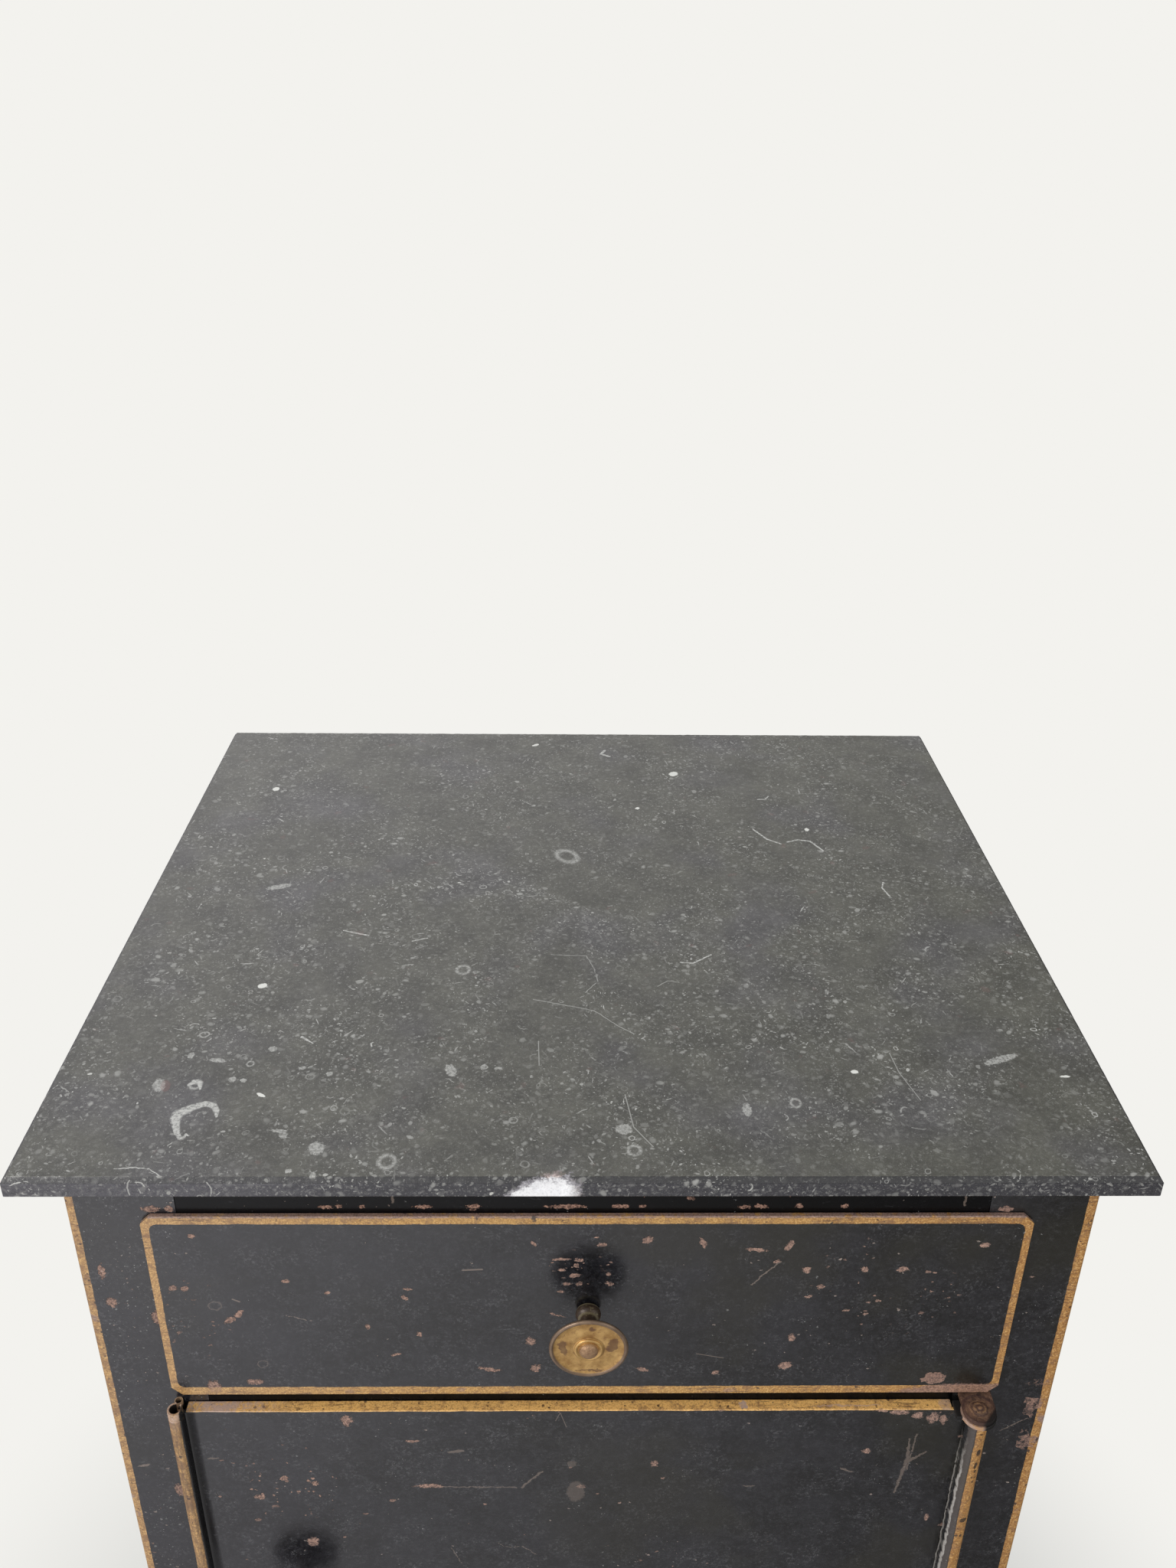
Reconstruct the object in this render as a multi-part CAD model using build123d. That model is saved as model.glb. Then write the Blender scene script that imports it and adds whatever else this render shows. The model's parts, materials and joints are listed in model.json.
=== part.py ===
from build123d import *
import math
import os

os.makedirs("parts", exist_ok=True)

# A painted sheet-iron side cabinet with a thin stone top, one drawer and one door.
# Sizes are in millimetres. X runs to the right as seen from the front, Y to the back, Z up.
# While the pieces are made, y = 0 is the front face of the corner stiles and z = 0 is the floor.
# Each piece is moved as it is saved, so that the origin lies under the middle of the whole cabinet.

# Stone top
slab_width = 420.0
slab_depth = 378.0
slab_thick = 9.0
slab_arris = 1.8
slab_under_arris = 0.8
overhang_front = 14.2
overhang_side = 14.0
overhang_back = 6.0

# The bruise that a blow has left in the front edge of the stone
chip_x = -13.0
chip_width = 27.0
chip_depth = 3.2

# Sheet-iron body
total_height = 850.0
sheet = 1.2
corner_radius = 1.8
stile_width = 41.5
back_flange = 24.0
top_flange = 16.0
fit_gap = 0.1

# Feet, cut out of the corner sheets
apron_height = 96.0
foot_toe_width = 30.0
foot_toe_depth = 34.0
foot_top_depth = 48.0
foot_notch_radius = 10.0
sole_thick = 3.0
sole_margin = 2.0
sole_inset = 0.5
brace_leg = 24.0
brace_top_gap = 8.0

# Front rails and the openings between them
drawer_open_drop = 40.0
drawer_open_height = 82.0
mid_rail_height = 24.0
bottom_rail_height = 34.0
rail_lip = 14.0
rail_tab_reach = 18.0
rail_tab_height = 6.0
rail_tab_drop = 3.0
rail_under_lip = 9.0

# Trays: the deck under the drawer and the floor of the compartment
tray_flange = 14.0
tray_flange_inset = 20.0

# Inner shelf and its ledges
shelf_height = 408.0
shelf_front = 34.0
shelf_fold = 12.0
shelf_side_gap = 1.0
ledge_leg = 16.0
ledge_end_gap = 26.0

# Corner gussets under the stone
gusset_leg = 56.0

# Rivets of the body
rivet_radius = 1.5
rivet_head_radius = 3.0
rivet_head_height = 1.3
rivet_clear = 0.05
tray_rivet_rows = 3
back_rivet_rows = 6
rivet_end_margin = 42.0
back_rivet_margin = 21.0
flange_rivet_drop = 8.4

# Drawer
drawer_shift = 1.8
drawer_plate_width = 340.0
drawer_plate_over = 9.7
drawer_plate_under = 7.0
drawer_plate_corner = 4.0
drawer_plate_proud = 2.2
drawer_seat_gap = 0.2
drawer_play = 1.7
drawer_box_height = 74.0
drawer_box_end_gap = 26.0
drawer_flange = 10.0
drawer_hem = 5.0
drawer_rivet_shares = (0.4, 0.8)
runner_leg = 14.0
runner_play = 0.8
runner_rise = 15.0
runner_end_gap = 14.0

# Knobs, turned in brass
knob_bead_radius = 5.1
knob_bead_length = 5.6
knob_neck_radius = 3.5
knob_flare_start = 12.0
knob_flare = 4.6
knob_disc_radius = 15.3
knob_disc_back = 17.9
knob_disc_front = 19.8
knob_rim_width = 1.3
knob_dish = 0.8
knob_ring_radius = 5.3
knob_ring_width = 1.5
knob_ring_height = 1.0
knob_boss_reach = 22.0
knob_screw_radius = 2.0
knob_screw_depth = 13.0
knob_screw_tail = 9.0
nut_across = 8.0
nut_thick = 3.2
washer_radius = 6.5
washer_thick = 1.0

# Door
door_sheet = 1.0
door_lap = 10.5
door_frame_gap = 0.25
hinge_inset = 8.8
hinge_stand = 8.4
roll_radius = 4.35
roll_mouth = 60.0
bead_inset = 11.8
bead_radius = 3.15
bead_mouth = 35.0
bead_rise = 4.3
door_flange_notch = 5.0

# Hinge lugs on the body, ears on the door and the pins through them
pin_radius = 2.5
pin_clear = 0.05
pin_reach = 16.0
pin_head_radius = 4.0
pin_head_height = 1.0
lug_half = 6.65
lug_thick = 2.0
lug_gap = 0.3
lug_tab_drop = 18.0
lug_rivet_spread = 3.4
ear_radius = 7.2
ear_thick = 1.9
ear_neck_width = 4.5
ear_pad_width = 18.0
ear_pad_drop = 26.0

# Turn latch behind the door, worked by the door's knob
latch_from_edge = 27.5
latch_drop = 110.0
latch_gap = 0.1
latch_bush_radius = 4.0
latch_bush_flange = 7.0
latch_bush_flange_thick = 1.0
tongue_length = 40.0
tongue_width = 12.0
tongue_thick = 2.0
tongue_stand = 1.5
spindle_tail = 1.3
keeper_thick = 1.3
keeper_width = 18.0
keeper_height = 28.0
keeper_inset = 2.5

# Places that follow from the sizes above
body_half = slab_width / 2 - overhang_side
body_depth = slab_depth - overhang_front - overhang_back
body_top = total_height - slab_thick
opening_half = body_half - stile_width
drawer_open_top = total_height - drawer_open_drop
drawer_open_bottom = drawer_open_top - drawer_open_height
door_open_top = drawer_open_bottom - mid_rail_height
door_open_bottom = apron_height + bottom_rail_height
inner_half = body_half - sheet
inner_back = body_depth - 2 * sheet
deck_top = drawer_open_bottom - sheet
floor_top = door_open_bottom - sheet

hinge_x = opening_half + hinge_inset
hinge_y = -hinge_stand
bead_x = -(opening_half + bead_inset)
door_back_y = hinge_y + roll_radius
door_face_y = door_back_y - door_sheet
door_top = door_open_top + door_lap
door_bottom = door_open_bottom - door_lap
upper_lug_z = door_top + ear_thick + lug_gap
lower_lug_z = door_bottom - ear_thick - lug_gap - lug_thick

drawer_face_y = -drawer_plate_proud
drawer_plate_top = drawer_open_top + drawer_plate_over
drawer_plate_bottom = drawer_open_bottom - drawer_plate_under
knob_z = (drawer_plate_top + drawer_plate_bottom) / 2
latch_x = -(opening_half - latch_from_edge)
latch_z = door_open_top - latch_drop
tongue_y = sheet + tongue_stand

front_most = door_face_y - latch_gap - knob_boss_reach
back_most = body_depth + overhang_back
to_row_frame = Pos(0, -(front_most + back_most) / 2, 0)


def save(name, shape):
    """Move a finished piece into the cabinet's own frame and write it."""
    solids = [to_row_frame * solid for solid in shape.solids()]
    export_step(solids[0] if len(solids) == 1 else Compound(solids), f"parts/{name}.step")


def block(x0, x1, y0, y1, z0, z1):
    """A box between two opposite corners."""
    return Pos((x0 + x1) / 2, (y0 + y1) / 2, (z0 + z1) / 2) * Box(abs(x1 - x0), abs(y1 - y0), abs(z1 - z0))


def rod(x, y, z0, z1, radius):
    """An upright cylinder."""
    return Pos(x, y, (z0 + z1) / 2) * Cylinder(radius, z1 - z0)


def rod_y(x, z, y0, y1, radius):
    """A cylinder that lies from front to back."""
    return Pos(x, (y0 + y1) / 2, z) * Rot(90, 0, 0) * Cylinder(radius, y1 - y0)


def rod_x(y, z, x0, x1, radius):
    """A cylinder that lies from side to side."""
    return Pos((x0 + x1) / 2, y, z) * Rot(0, 90, 0) * Cylinder(radius, x1 - x0)


def spread(first, last, count):
    """Evenly spaced places, both ends included."""
    return [first + (last - first) * i / (count - 1) for i in range(count)]


def cap_arc(radius, z, rise):
    """Half the outline of a dome on the Z axis: from its rim at height z to its crown, rise away."""
    ball = (radius**2 + rise**2) / (2 * abs(rise))
    mid = radius / 2
    drop = ball - math.sqrt(ball**2 - mid**2)
    way = math.copysign(1, rise)
    return ThreePointArc((radius, 0, z), (mid, 0, z + rise - way * drop), (0, 0, z + rise))


def rivet(grip):
    """A round-headed rivet along +Z, its sheets lying between z = 0 and z = grip."""
    shank = Polyline(
        (rivet_head_radius, 0, 0),
        (rivet_radius, 0, 0),
        (rivet_radius, 0, grip),
        (rivet_head_radius, 0, grip),
    )
    low = cap_arc(rivet_head_radius, 0, -rivet_head_height)
    high = cap_arc(rivet_head_radius, grip, rivet_head_height)
    axis_line = Line((0, 0, grip + rivet_head_height), (0, 0, -rivet_head_height))
    return revolve(make_face([low, shank, high, axis_line]), Axis.Z)


# Stone top, with the bruise in its front edge
def make_stone_top():
    y0 = -overhang_front
    y1 = body_depth + overhang_back
    slab = block(-slab_width / 2, slab_width / 2, y0, y1, body_top, total_height)
    slab = chamfer(slab.faces().sort_by(Axis.Z)[-1].edges(), slab_arris)
    slab = chamfer(slab.faces().sort_by(Axis.Z)[0].edges(), slab_under_arris)
    ball = (chip_width**2 / 4 + chip_depth**2) / (2 * chip_depth)
    slab -= Pos(chip_x, y0 + chip_depth - ball, total_height - slab_arris) * Sphere(ball)
    return slab


# Rivet places: those along the sides are shared by the side sheets and what is fixed to them
def side_spots():
    tray_ys = spread(rivet_end_margin, body_depth - rivet_end_margin, tray_rivet_rows)
    heights = [
        deck_top - flange_rivet_drop,
        floor_top - flange_rivet_drop,
        shelf_height - sheet - flange_rivet_drop,
    ]
    spots = [(y, z) for z in heights for y in tray_ys]
    brace_mid = sheet + brace_leg / 2
    for y in (brace_mid, body_depth - brace_mid):
        for z in (sole_thick + brace_leg / 2, apron_height - brace_top_gap - brace_leg / 2):
            spots.append((y, z))
    return spots


def back_spots():
    x = body_half - back_flange / 2
    heights = spread(apron_height + back_rivet_margin, body_top - back_rivet_margin, back_rivet_rows)
    return [(side * x, z) for side in (-1, 1) for z in heights]


def drill_sides(piece):
    """Open the rivet holes that run from side to side."""
    for y, z in side_spots():
        piece -= rod_x(y, z, -slab_width / 2, slab_width / 2, rivet_radius + rivet_clear)
    return piece


def drill_back(piece):
    """Open the rivet holes that run through the back."""
    for x, z in back_spots():
        piece -= rod_y(x, z, inner_back - fit_gap, body_depth + fit_gap, rivet_radius + rivet_clear)
    return piece


# Side sheets, each folded round into a front stile, a back flange and a top flange
def make_side(side):
    toe_back = body_depth - foot_toe_depth
    top_back = body_depth - foot_top_depth
    cheek = Polyline(
        (inner_half, 0, sole_thick),
        (inner_half, foot_toe_depth, sole_thick),
        (inner_half, foot_top_depth, apron_height),
        (inner_half, top_back, apron_height),
        (inner_half, toe_back, sole_thick),
        (inner_half, body_depth, sole_thick),
        (inner_half, body_depth, body_top),
        (inner_half, 0, body_top),
        (inner_half, 0, sole_thick),
    )
    wall = extrude(make_face(cheek), amount=sheet, dir=(1, 0, 0))
    notch = wall.edges().filter_by(Axis.X).filter_by(
        lambda edge: abs(edge.center().Z - apron_height) < fit_gap
    )
    wall = fillet(notch, foot_notch_radius)
    stile = Polyline(
        (body_half, 0, sole_thick),
        (body_half, 0, body_top),
        (opening_half, 0, body_top),
        (opening_half, 0, apron_height),
        (body_half - foot_toe_width, 0, sole_thick),
        (body_half, 0, sole_thick),
    )
    wall += extrude(make_face(stile), amount=sheet, dir=(0, 1, 0))
    wall += block(body_half - back_flange, body_half, body_depth - sheet, body_depth, sole_thick, body_top)
    wall += block(
        inner_half - top_flange, inner_half, tray_flange_inset, body_depth - tray_flange_inset,
        body_top - sheet, body_top,
    )
    corner = wall.edges().filter_by(Axis.Z).filter_by(
        lambda edge: abs(edge.center().X - body_half) < fit_gap and abs(edge.center().Y) < fit_gap
    )
    wall = fillet(corner, corner_radius)
    wall = drill_back(drill_sides(wall))
    if side < 0:
        return mirror(wall, about=Plane.YZ)
    for lug_z in (upper_lug_z, lower_lug_z):
        wall -= block(
            hinge_x - lug_half - fit_gap, hinge_x + lug_half + fit_gap, -sheet, 2 * sheet,
            lug_z - fit_gap, lug_z + lug_thick + fit_gap,
        )
        for x, z in lug_rivet_spots(lug_z):
            wall -= rod_y(x, z, -sheet, 2 * sheet, rivet_radius + rivet_clear)
    return wall


def make_back_panel():
    half = inner_half - fit_gap
    y1 = inner_back + sheet
    panel = block(-half, half, inner_back, y1, apron_height, body_top)
    lip_half = inner_half - top_flange - 2 * sheet
    panel += block(-lip_half, lip_half, inner_back - top_flange, y1, body_top - sheet, body_top)
    panel += block(-lip_half, lip_half, inner_back - rail_lip, y1, apron_height, apron_height + sheet)
    return drill_back(panel)


# Front rails: a strip between the stiles, folded back top and bottom, with tabs behind the stiles
def make_rail(z0, z1, tab_z0):
    half = opening_half - fit_gap
    rail = block(-half, half, 0, sheet, z0, z1)
    rail += block(-half, half, 0, rail_lip, z1 - sheet, z1)
    rail += block(-half, half, 0, rail_under_lip, z0, z0 + sheet)
    for side in (-1, 1):
        rail += block(
            side * (half - rail_tab_reach), side * (opening_half + rail_tab_reach), sheet, 2 * sheet,
            tab_z0, z1 - rail_tab_drop,
        )
    return rail


# The drawer's deck and the compartment's floor are the same tray
def make_tray(z_top):
    half = inner_half - fit_gap
    y0 = sheet + fit_gap
    y1 = inner_back - fit_gap
    tray = block(-half, half, y0, y1, z_top - sheet, z_top)
    for side in (-1, 1):
        tray += block(
            side * (half - sheet), side * half, y0 + tray_flange_inset, y1 - tray_flange_inset,
            z_top - tray_flange, z_top,
        )
    return drill_sides(tray)


# Runners: angles on the deck that carry the drawer's sides and keep it in line
def make_runner(side):
    outer = opening_half - runner_play
    y0 = rail_lip + fit_gap
    y1 = inner_back - runner_end_gap
    leg = block(side * (outer - runner_leg), side * (outer + sheet), y0, y1, deck_top, deck_top + sheet)
    return leg + block(side * outer, side * (outer + sheet), y0, y1, deck_top, deck_top + runner_rise)


def make_ledge(side):
    outer = inner_half - fit_gap
    y0 = ledge_end_gap
    y1 = inner_back - ledge_end_gap
    z1 = shelf_height - sheet
    ledge = block(side * (outer - ledge_leg), side * outer, y0, y1, z1 - sheet, z1)
    ledge += block(side * (outer - sheet), side * outer, y0, y1, z1 - ledge_leg, z1)
    return drill_sides(ledge)


def make_shelf():
    half = inner_half - rivet_head_height - shelf_side_gap
    y1 = inner_back - shelf_side_gap
    shelf = block(-half, half, shelf_front, y1, shelf_height - sheet, shelf_height)
    fold_half = inner_half - fit_gap - ledge_leg - shelf_side_gap
    shelf += block(
        -fold_half, fold_half, shelf_front, shelf_front + sheet, shelf_height - shelf_fold, shelf_height
    )
    shelf += block(-fold_half, fold_half, y1 - sheet, y1, shelf_height - shelf_fold, shelf_height)
    return shelf


# Three-cornered plates that stiffen the top corners
def make_gussets():
    z1 = body_top - sheet
    x = inner_half - fit_gap
    plates = []
    for side in (-1, 1):
        for y, way in ((sheet + fit_gap, 1), (inner_back - fit_gap, -1)):
            outline = Polyline(
                (side * x, y, z1),
                (side * (x - gusset_leg), y, z1),
                (side * x, y + way * gusset_leg, z1),
                (side * x, y, z1),
            )
            plates.append(extrude(make_face(outline), amount=sheet, dir=(0, 0, -1)))
    return Compound(children=plates)


# Angles inside the feet, standing on the sole plates
def make_foot_braces():
    z0 = sole_thick
    z1 = apron_height - brace_top_gap
    braces = []
    for side in (-1, 1):
        x1 = side * (inner_half - fit_gap)
        x0 = side * (inner_half - fit_gap - brace_leg)
        xt = side * (inner_half - fit_gap - sheet)
        for face, way in ((sheet + fit_gap, 1), (body_depth - sheet - fit_gap, -1)):
            brace = block(x0, x1, face, face + way * sheet, z0, z1)
            brace += block(xt, x1, face, face + way * brace_leg, z0, z1)
            braces.append(drill_sides(brace))
    return Compound(children=braces)


def make_foot_soles():
    plates = []
    for side in (-1, 1):
        x0 = side * (body_half - sole_inset)
        x1 = side * (body_half - foot_toe_width - sole_margin)
        for y, way in ((sole_inset, 1), (body_depth - sole_inset, -1)):
            plate = block(x0, x1, y, y + way * (foot_toe_depth + sole_margin), 0, sole_thick)
            plates.append(fillet(plate.edges().filter_by(Axis.Z), sole_margin))
    return Compound(children=plates)


def make_side_rivets():
    grip = 2 * sheet + fit_gap
    rivets = []
    for y, z in side_spots():
        rivets.append(Pos(inner_half - fit_gap - sheet, y, z) * Rot(0, 90, 0) * rivet(grip))
        rivets.append(Pos(-body_half, y, z) * Rot(0, 90, 0) * rivet(grip))
    return Compound(children=rivets)


def make_back_rivets():
    turn = Rot(-90, 0, 0)
    return Compound(children=[Pos(x, inner_back, z) * turn * rivet(2 * sheet) for x, z in back_spots()])


# Hinge: a lug through the stile, a pin riveted into it and an ear on the door
def lug_rivet_spots(lug_z):
    z = lug_z - lug_tab_drop / 2
    return [(hinge_x + way * lug_rivet_spread, z) for way in (-1, 1)]


def make_lug(lug_z):
    z1 = lug_z + lug_thick
    lug = rod(hinge_x, hinge_y, lug_z, z1, lug_half)
    lug += block(hinge_x - lug_half, hinge_x + lug_half, hinge_y, sheet + lug_thick, lug_z, z1)
    lug += block(
        hinge_x - lug_half, hinge_x + lug_half, sheet, sheet + lug_thick, lug_z - lug_tab_drop, z1
    )
    lug -= rod(hinge_x, hinge_y, lug_z - lug_thick, z1 + lug_thick, pin_radius)
    for x, z in lug_rivet_spots(lug_z):
        lug -= rod_y(x, z, 0, 2 * (sheet + lug_thick), rivet_radius + rivet_clear)
    return lug


def make_lug_rivets():
    """Rivets hammered flush in front, where they are painted over, with round heads behind."""
    grip = sheet + lug_thick
    rivets = []
    for lug_z in (upper_lug_z, lower_lug_z):
        for x, z in lug_rivet_spots(lug_z):
            front_head = block(x - lug_half, x + lug_half, -lug_half, 0, z - lug_half, z + lug_half)
            rivets.append(Pos(x, 0, z) * Rot(-90, 0, 0) * rivet(grip) - front_head)
    return Compound(children=rivets)


def make_pin(head_z, way):
    """A pin whose shank runs from head_z into the door's roll, and whose end is hammered over."""
    far_z = door_top - pin_reach if way > 0 else door_bottom + pin_reach
    shank = rod(hinge_x, hinge_y, min(head_z, far_z), max(head_z, far_z), pin_radius)
    ball = (pin_head_radius**2 + pin_head_height**2) / (2 * pin_head_height)
    cap = Pos(hinge_x, hinge_y, head_z + way * (pin_head_height - ball)) * Sphere(ball)
    reach = 2 * pin_head_radius
    cap &= block(
        hinge_x - reach, hinge_x + reach, hinge_y - reach, hinge_y + reach,
        head_z, head_z + way * 2 * pin_head_height,
    )
    return shank + cap


def make_ear():
    """The upper ear: a disc over the roll's end, and a tab that goes down behind the door's sheet."""
    z1 = door_top + ear_thick
    tab_x0 = hinge_x - door_flange_notch - ear_neck_width
    tab_x1 = tab_x0 + ear_neck_width
    tab_y = door_back_y + ear_thick
    ear = rod(hinge_x, hinge_y, door_top, z1, ear_radius)
    ear += block(tab_x0, hinge_x, hinge_y - ear_thick, tab_y, door_top, z1)
    ear += block(tab_x0, tab_x1, door_back_y, tab_y, door_top - ear_pad_drop, z1)
    ear += block(
        tab_x1 - ear_pad_width, tab_x1, door_back_y, tab_y,
        door_top - ear_pad_drop, door_top - door_sheet - lug_gap,
    )
    return ear - rod(hinge_x, hinge_y, door_top - ear_pad_drop, 2 * z1, pin_radius + pin_clear)


# Door: one sheet, its upright edges rolled forward into tubes, its top and bottom folded back
def rolled_edge(radius, mouth, toward):
    """Section of a rolled edge about its own centre, open between the raw edge and the sheet."""
    reach = 2 * radius
    angle = math.radians(90 - mouth)
    opening = Polygon(
        (0, 0),
        (0, reach),
        (toward * reach, reach),
        (toward * reach * math.cos(angle), reach * math.sin(angle)),
        align=None,
    )
    return Circle(radius) - Circle(radius - door_sheet) - opening


def make_door_panel():
    width = hinge_x - bead_x
    bead = Pos(bead_x, door_back_y - bead_radius) * rolled_edge(bead_radius, bead_mouth, 1)
    section = Pos((hinge_x + bead_x) / 2, (door_face_y + door_back_y) / 2) * Rectangle(width, door_sheet)
    section += Pos(hinge_x, hinge_y) * rolled_edge(roll_radius, roll_mouth, -1)
    panel = extrude(Pos(0, 0, door_bottom) * (section + bead), amount=door_top - door_bottom)
    panel += extrude(Pos(0, 0, door_top) * bead, amount=bead_rise)
    x0 = bead_x + bead_radius
    x1 = hinge_x - door_flange_notch - ear_neck_width - lug_gap
    for z0, z1 in ((door_top - door_sheet, door_top), (door_bottom, door_bottom + door_sheet)):
        panel += block(x0, x1, door_face_y, -door_frame_gap, z0, z1)
    return panel - rod_y(latch_x, latch_z, 2 * door_face_y, 0, latch_bush_radius)


# Turn latch: a bush in the door, a spindle from the knob, a tongue that swings behind the stile
def make_latch_bush():
    bush = rod_y(latch_x, latch_z, door_face_y, tongue_y - latch_gap, latch_bush_radius)
    bush += rod_y(latch_x, latch_z, door_back_y, door_back_y + latch_bush_flange_thick, latch_bush_flange)
    return bush - rod_y(latch_x, latch_z, 2 * door_face_y, 2 * tongue_y, knob_screw_radius + pin_clear)


def make_latch_spindle():
    y0 = door_face_y - latch_gap - knob_screw_depth
    y1 = tongue_y + tongue_thick + nut_thick + spindle_tail
    return rod_y(latch_x, latch_z, y0, y1, knob_screw_radius)


def make_latch_tongue():
    half = tongue_width / 2
    y1 = tongue_y + tongue_thick
    tongue = block(latch_x - half, latch_x + half, tongue_y, y1, latch_z - tongue_length + half, latch_z)
    for z in (latch_z, latch_z - tongue_length + half):
        tongue += rod_y(latch_x, z, tongue_y, y1, half)
    return tongue - rod_y(latch_x, latch_z, tongue_y - half, y1 + half, knob_screw_radius)


def make_latch_keeper():
    """A wear plate behind the left stile, where the tongue's end comes to lie."""
    x1 = -opening_half - keeper_inset
    z0 = latch_z - keeper_height / 2
    plate = block(x1 - keeper_width, x1, sheet, sheet + keeper_thick, z0, z0 + keeper_height)
    return fillet(plate.edges().filter_by(Axis.Y), keeper_thick)


def make_nut(x, z, y0):
    """A square nut whose seat is at y0, on a screw that lies from front to back."""
    half = nut_across / 2
    nut = block(x - half, x + half, y0, y0 + nut_thick, z - half, z + half)
    return nut - rod_y(x, z, y0 - nut_thick, y0 + 2 * nut_thick, knob_screw_radius)


# Knob: turned about Z with its base at z = 0, then laid to point out of the front
def make_knob(x, z, base_y):
    face_r = knob_disc_radius - knob_rim_width
    dish_z = knob_disc_front - knob_dish
    ring_top = dish_z + knob_ring_height
    boss_r = knob_ring_radius - knob_ring_width
    outline = [
        Line((0, 0, 0), (knob_neck_radius, 0, 0)),
        ThreePointArc(
            (knob_neck_radius, 0, 0),
            (knob_bead_radius, 0, knob_bead_length / 2),
            (knob_neck_radius, 0, knob_bead_length),
        ),
        Line((knob_neck_radius, 0, knob_bead_length), (knob_neck_radius, 0, knob_flare_start)),
        TangentArc(
            (knob_neck_radius, 0, knob_flare_start),
            (knob_neck_radius + knob_flare, 0, knob_flare_start + knob_flare),
            tangent=(0, 0, 1),
        ),
        Polyline(
            (knob_neck_radius + knob_flare, 0, knob_flare_start + knob_flare),
            (knob_disc_radius, 0, knob_disc_back),
            (knob_disc_radius, 0, knob_disc_front - knob_rim_width / 3),
            (knob_disc_radius - knob_rim_width / 3, 0, knob_disc_front),
            (face_r, 0, knob_disc_front),
            (face_r, 0, dish_z),
            (knob_ring_radius, 0, dish_z),
            (knob_ring_radius, 0, ring_top),
            (boss_r, 0, ring_top),
        ),
        cap_arc(boss_r, ring_top, knob_boss_reach - ring_top),
        Line((0, 0, knob_boss_reach), (0, 0, 0)),
    ]
    turned = revolve(make_face(outline), Axis.Z)
    turned -= rod(0, 0, -knob_screw_depth, knob_screw_depth, knob_screw_radius)
    return Pos(x, base_y, z) * Rot(90, 0, 0) * turned


# Drawer: a front plate with a folded rim over the opening, and a sheet box behind it
def plate_outline(inset):
    half = drawer_plate_width / 2 - inset
    height = drawer_plate_top - drawer_plate_bottom - 2 * inset
    outline = chamfer(Rectangle(2 * half, height).vertices(), drawer_plate_corner)
    return Pos(drawer_shift, 0, knob_z) * Rot(90, 0, 0) * outline


def make_drawer_front():
    depth = drawer_plate_proud - drawer_seat_gap
    plate = extrude(Pos(0, drawer_face_y, 0) * plate_outline(0), amount=depth, dir=(0, 1, 0))
    hollow = Pos(0, drawer_face_y + sheet, 0) * plate_outline(sheet)
    plate -= extrude(hollow, amount=drawer_plate_proud, dir=(0, 1, 0))
    return plate - rod_y(drawer_shift, knob_z, drawer_face_y - sheet, sheet, knob_screw_radius)


drawer_box_half = opening_half - drawer_play - drawer_shift
drawer_box_front = drawer_face_y + sheet
drawer_box_back = inner_back - drawer_box_end_gap
drawer_box_bottom = drawer_open_bottom + drawer_seat_gap
drawer_box_top = drawer_box_bottom + drawer_box_height
drawer_back_flange_mid = drawer_box_back - sheet - drawer_flange / 2


def drawer_rivet_heights():
    return [drawer_box_bottom + drawer_box_height * share for share in drawer_rivet_shares]


def drill_drawer(piece):
    for z in drawer_rivet_heights():
        piece -= rod_x(
            drawer_back_flange_mid, z, -slab_width / 2, slab_width / 2, rivet_radius + rivet_clear
        )
    return piece


def make_drawer_side(side):
    def at(inset):
        return drawer_shift + side * (drawer_box_half - inset)

    y0 = drawer_box_front
    y1 = drawer_box_back
    z0 = drawer_box_bottom
    z1 = drawer_box_top
    wall = block(at(sheet), at(0), y0, y1, z0, z1)
    wall += block(at(drawer_flange), at(0), y0, y0 + sheet, z0, z1)
    wall += block(at(drawer_flange), at(0), y0, y1, z0, z0 + sheet)
    wall += block(at(drawer_hem), at(0), y0, y1, z1 - sheet, z1)
    return drill_drawer(wall)


def make_drawer_bottom():
    half = drawer_box_half - sheet - fit_gap
    y0 = drawer_box_front + sheet + fit_gap
    y1 = drawer_box_back - fit_gap
    z0 = drawer_box_bottom + sheet
    return block(drawer_shift - half, drawer_shift + half, y0, y1, z0, z0 + sheet)


def make_drawer_back():
    half = drawer_box_half - sheet - fit_gap
    y1 = drawer_box_back
    z0 = drawer_box_bottom + 2 * sheet
    z1 = drawer_box_top - sheet - fit_gap
    back = block(drawer_shift - half, drawer_shift + half, y1 - sheet, y1, z0, z1)
    for side in (-1, 1):
        x1 = drawer_shift + side * half
        back += block(x1 - side * sheet, x1, y1 - sheet - drawer_flange, y1, z0, z1)
    return drill_drawer(back)


def make_drawer_rivets():
    grip = 2 * sheet + fit_gap
    rivets = []
    for z in drawer_rivet_heights():
        right = drawer_shift + drawer_box_half - grip
        left = drawer_shift - drawer_box_half
        for x in (right, left):
            rivets.append(Pos(x, drawer_back_flange_mid, z) * Rot(0, 90, 0) * rivet(grip))
    return Compound(children=rivets)


def make_drawer_screw():
    y0 = drawer_face_y - knob_screw_depth
    return rod_y(drawer_shift, knob_z, y0, drawer_box_front + knob_screw_tail, knob_screw_radius)


def make_drawer_washer():
    disc = rod_y(drawer_shift, knob_z, drawer_box_front, drawer_box_front + washer_thick, washer_radius)
    return disc - rod_y(drawer_shift, knob_z, 2 * drawer_face_y, washer_radius, knob_screw_radius)


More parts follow.
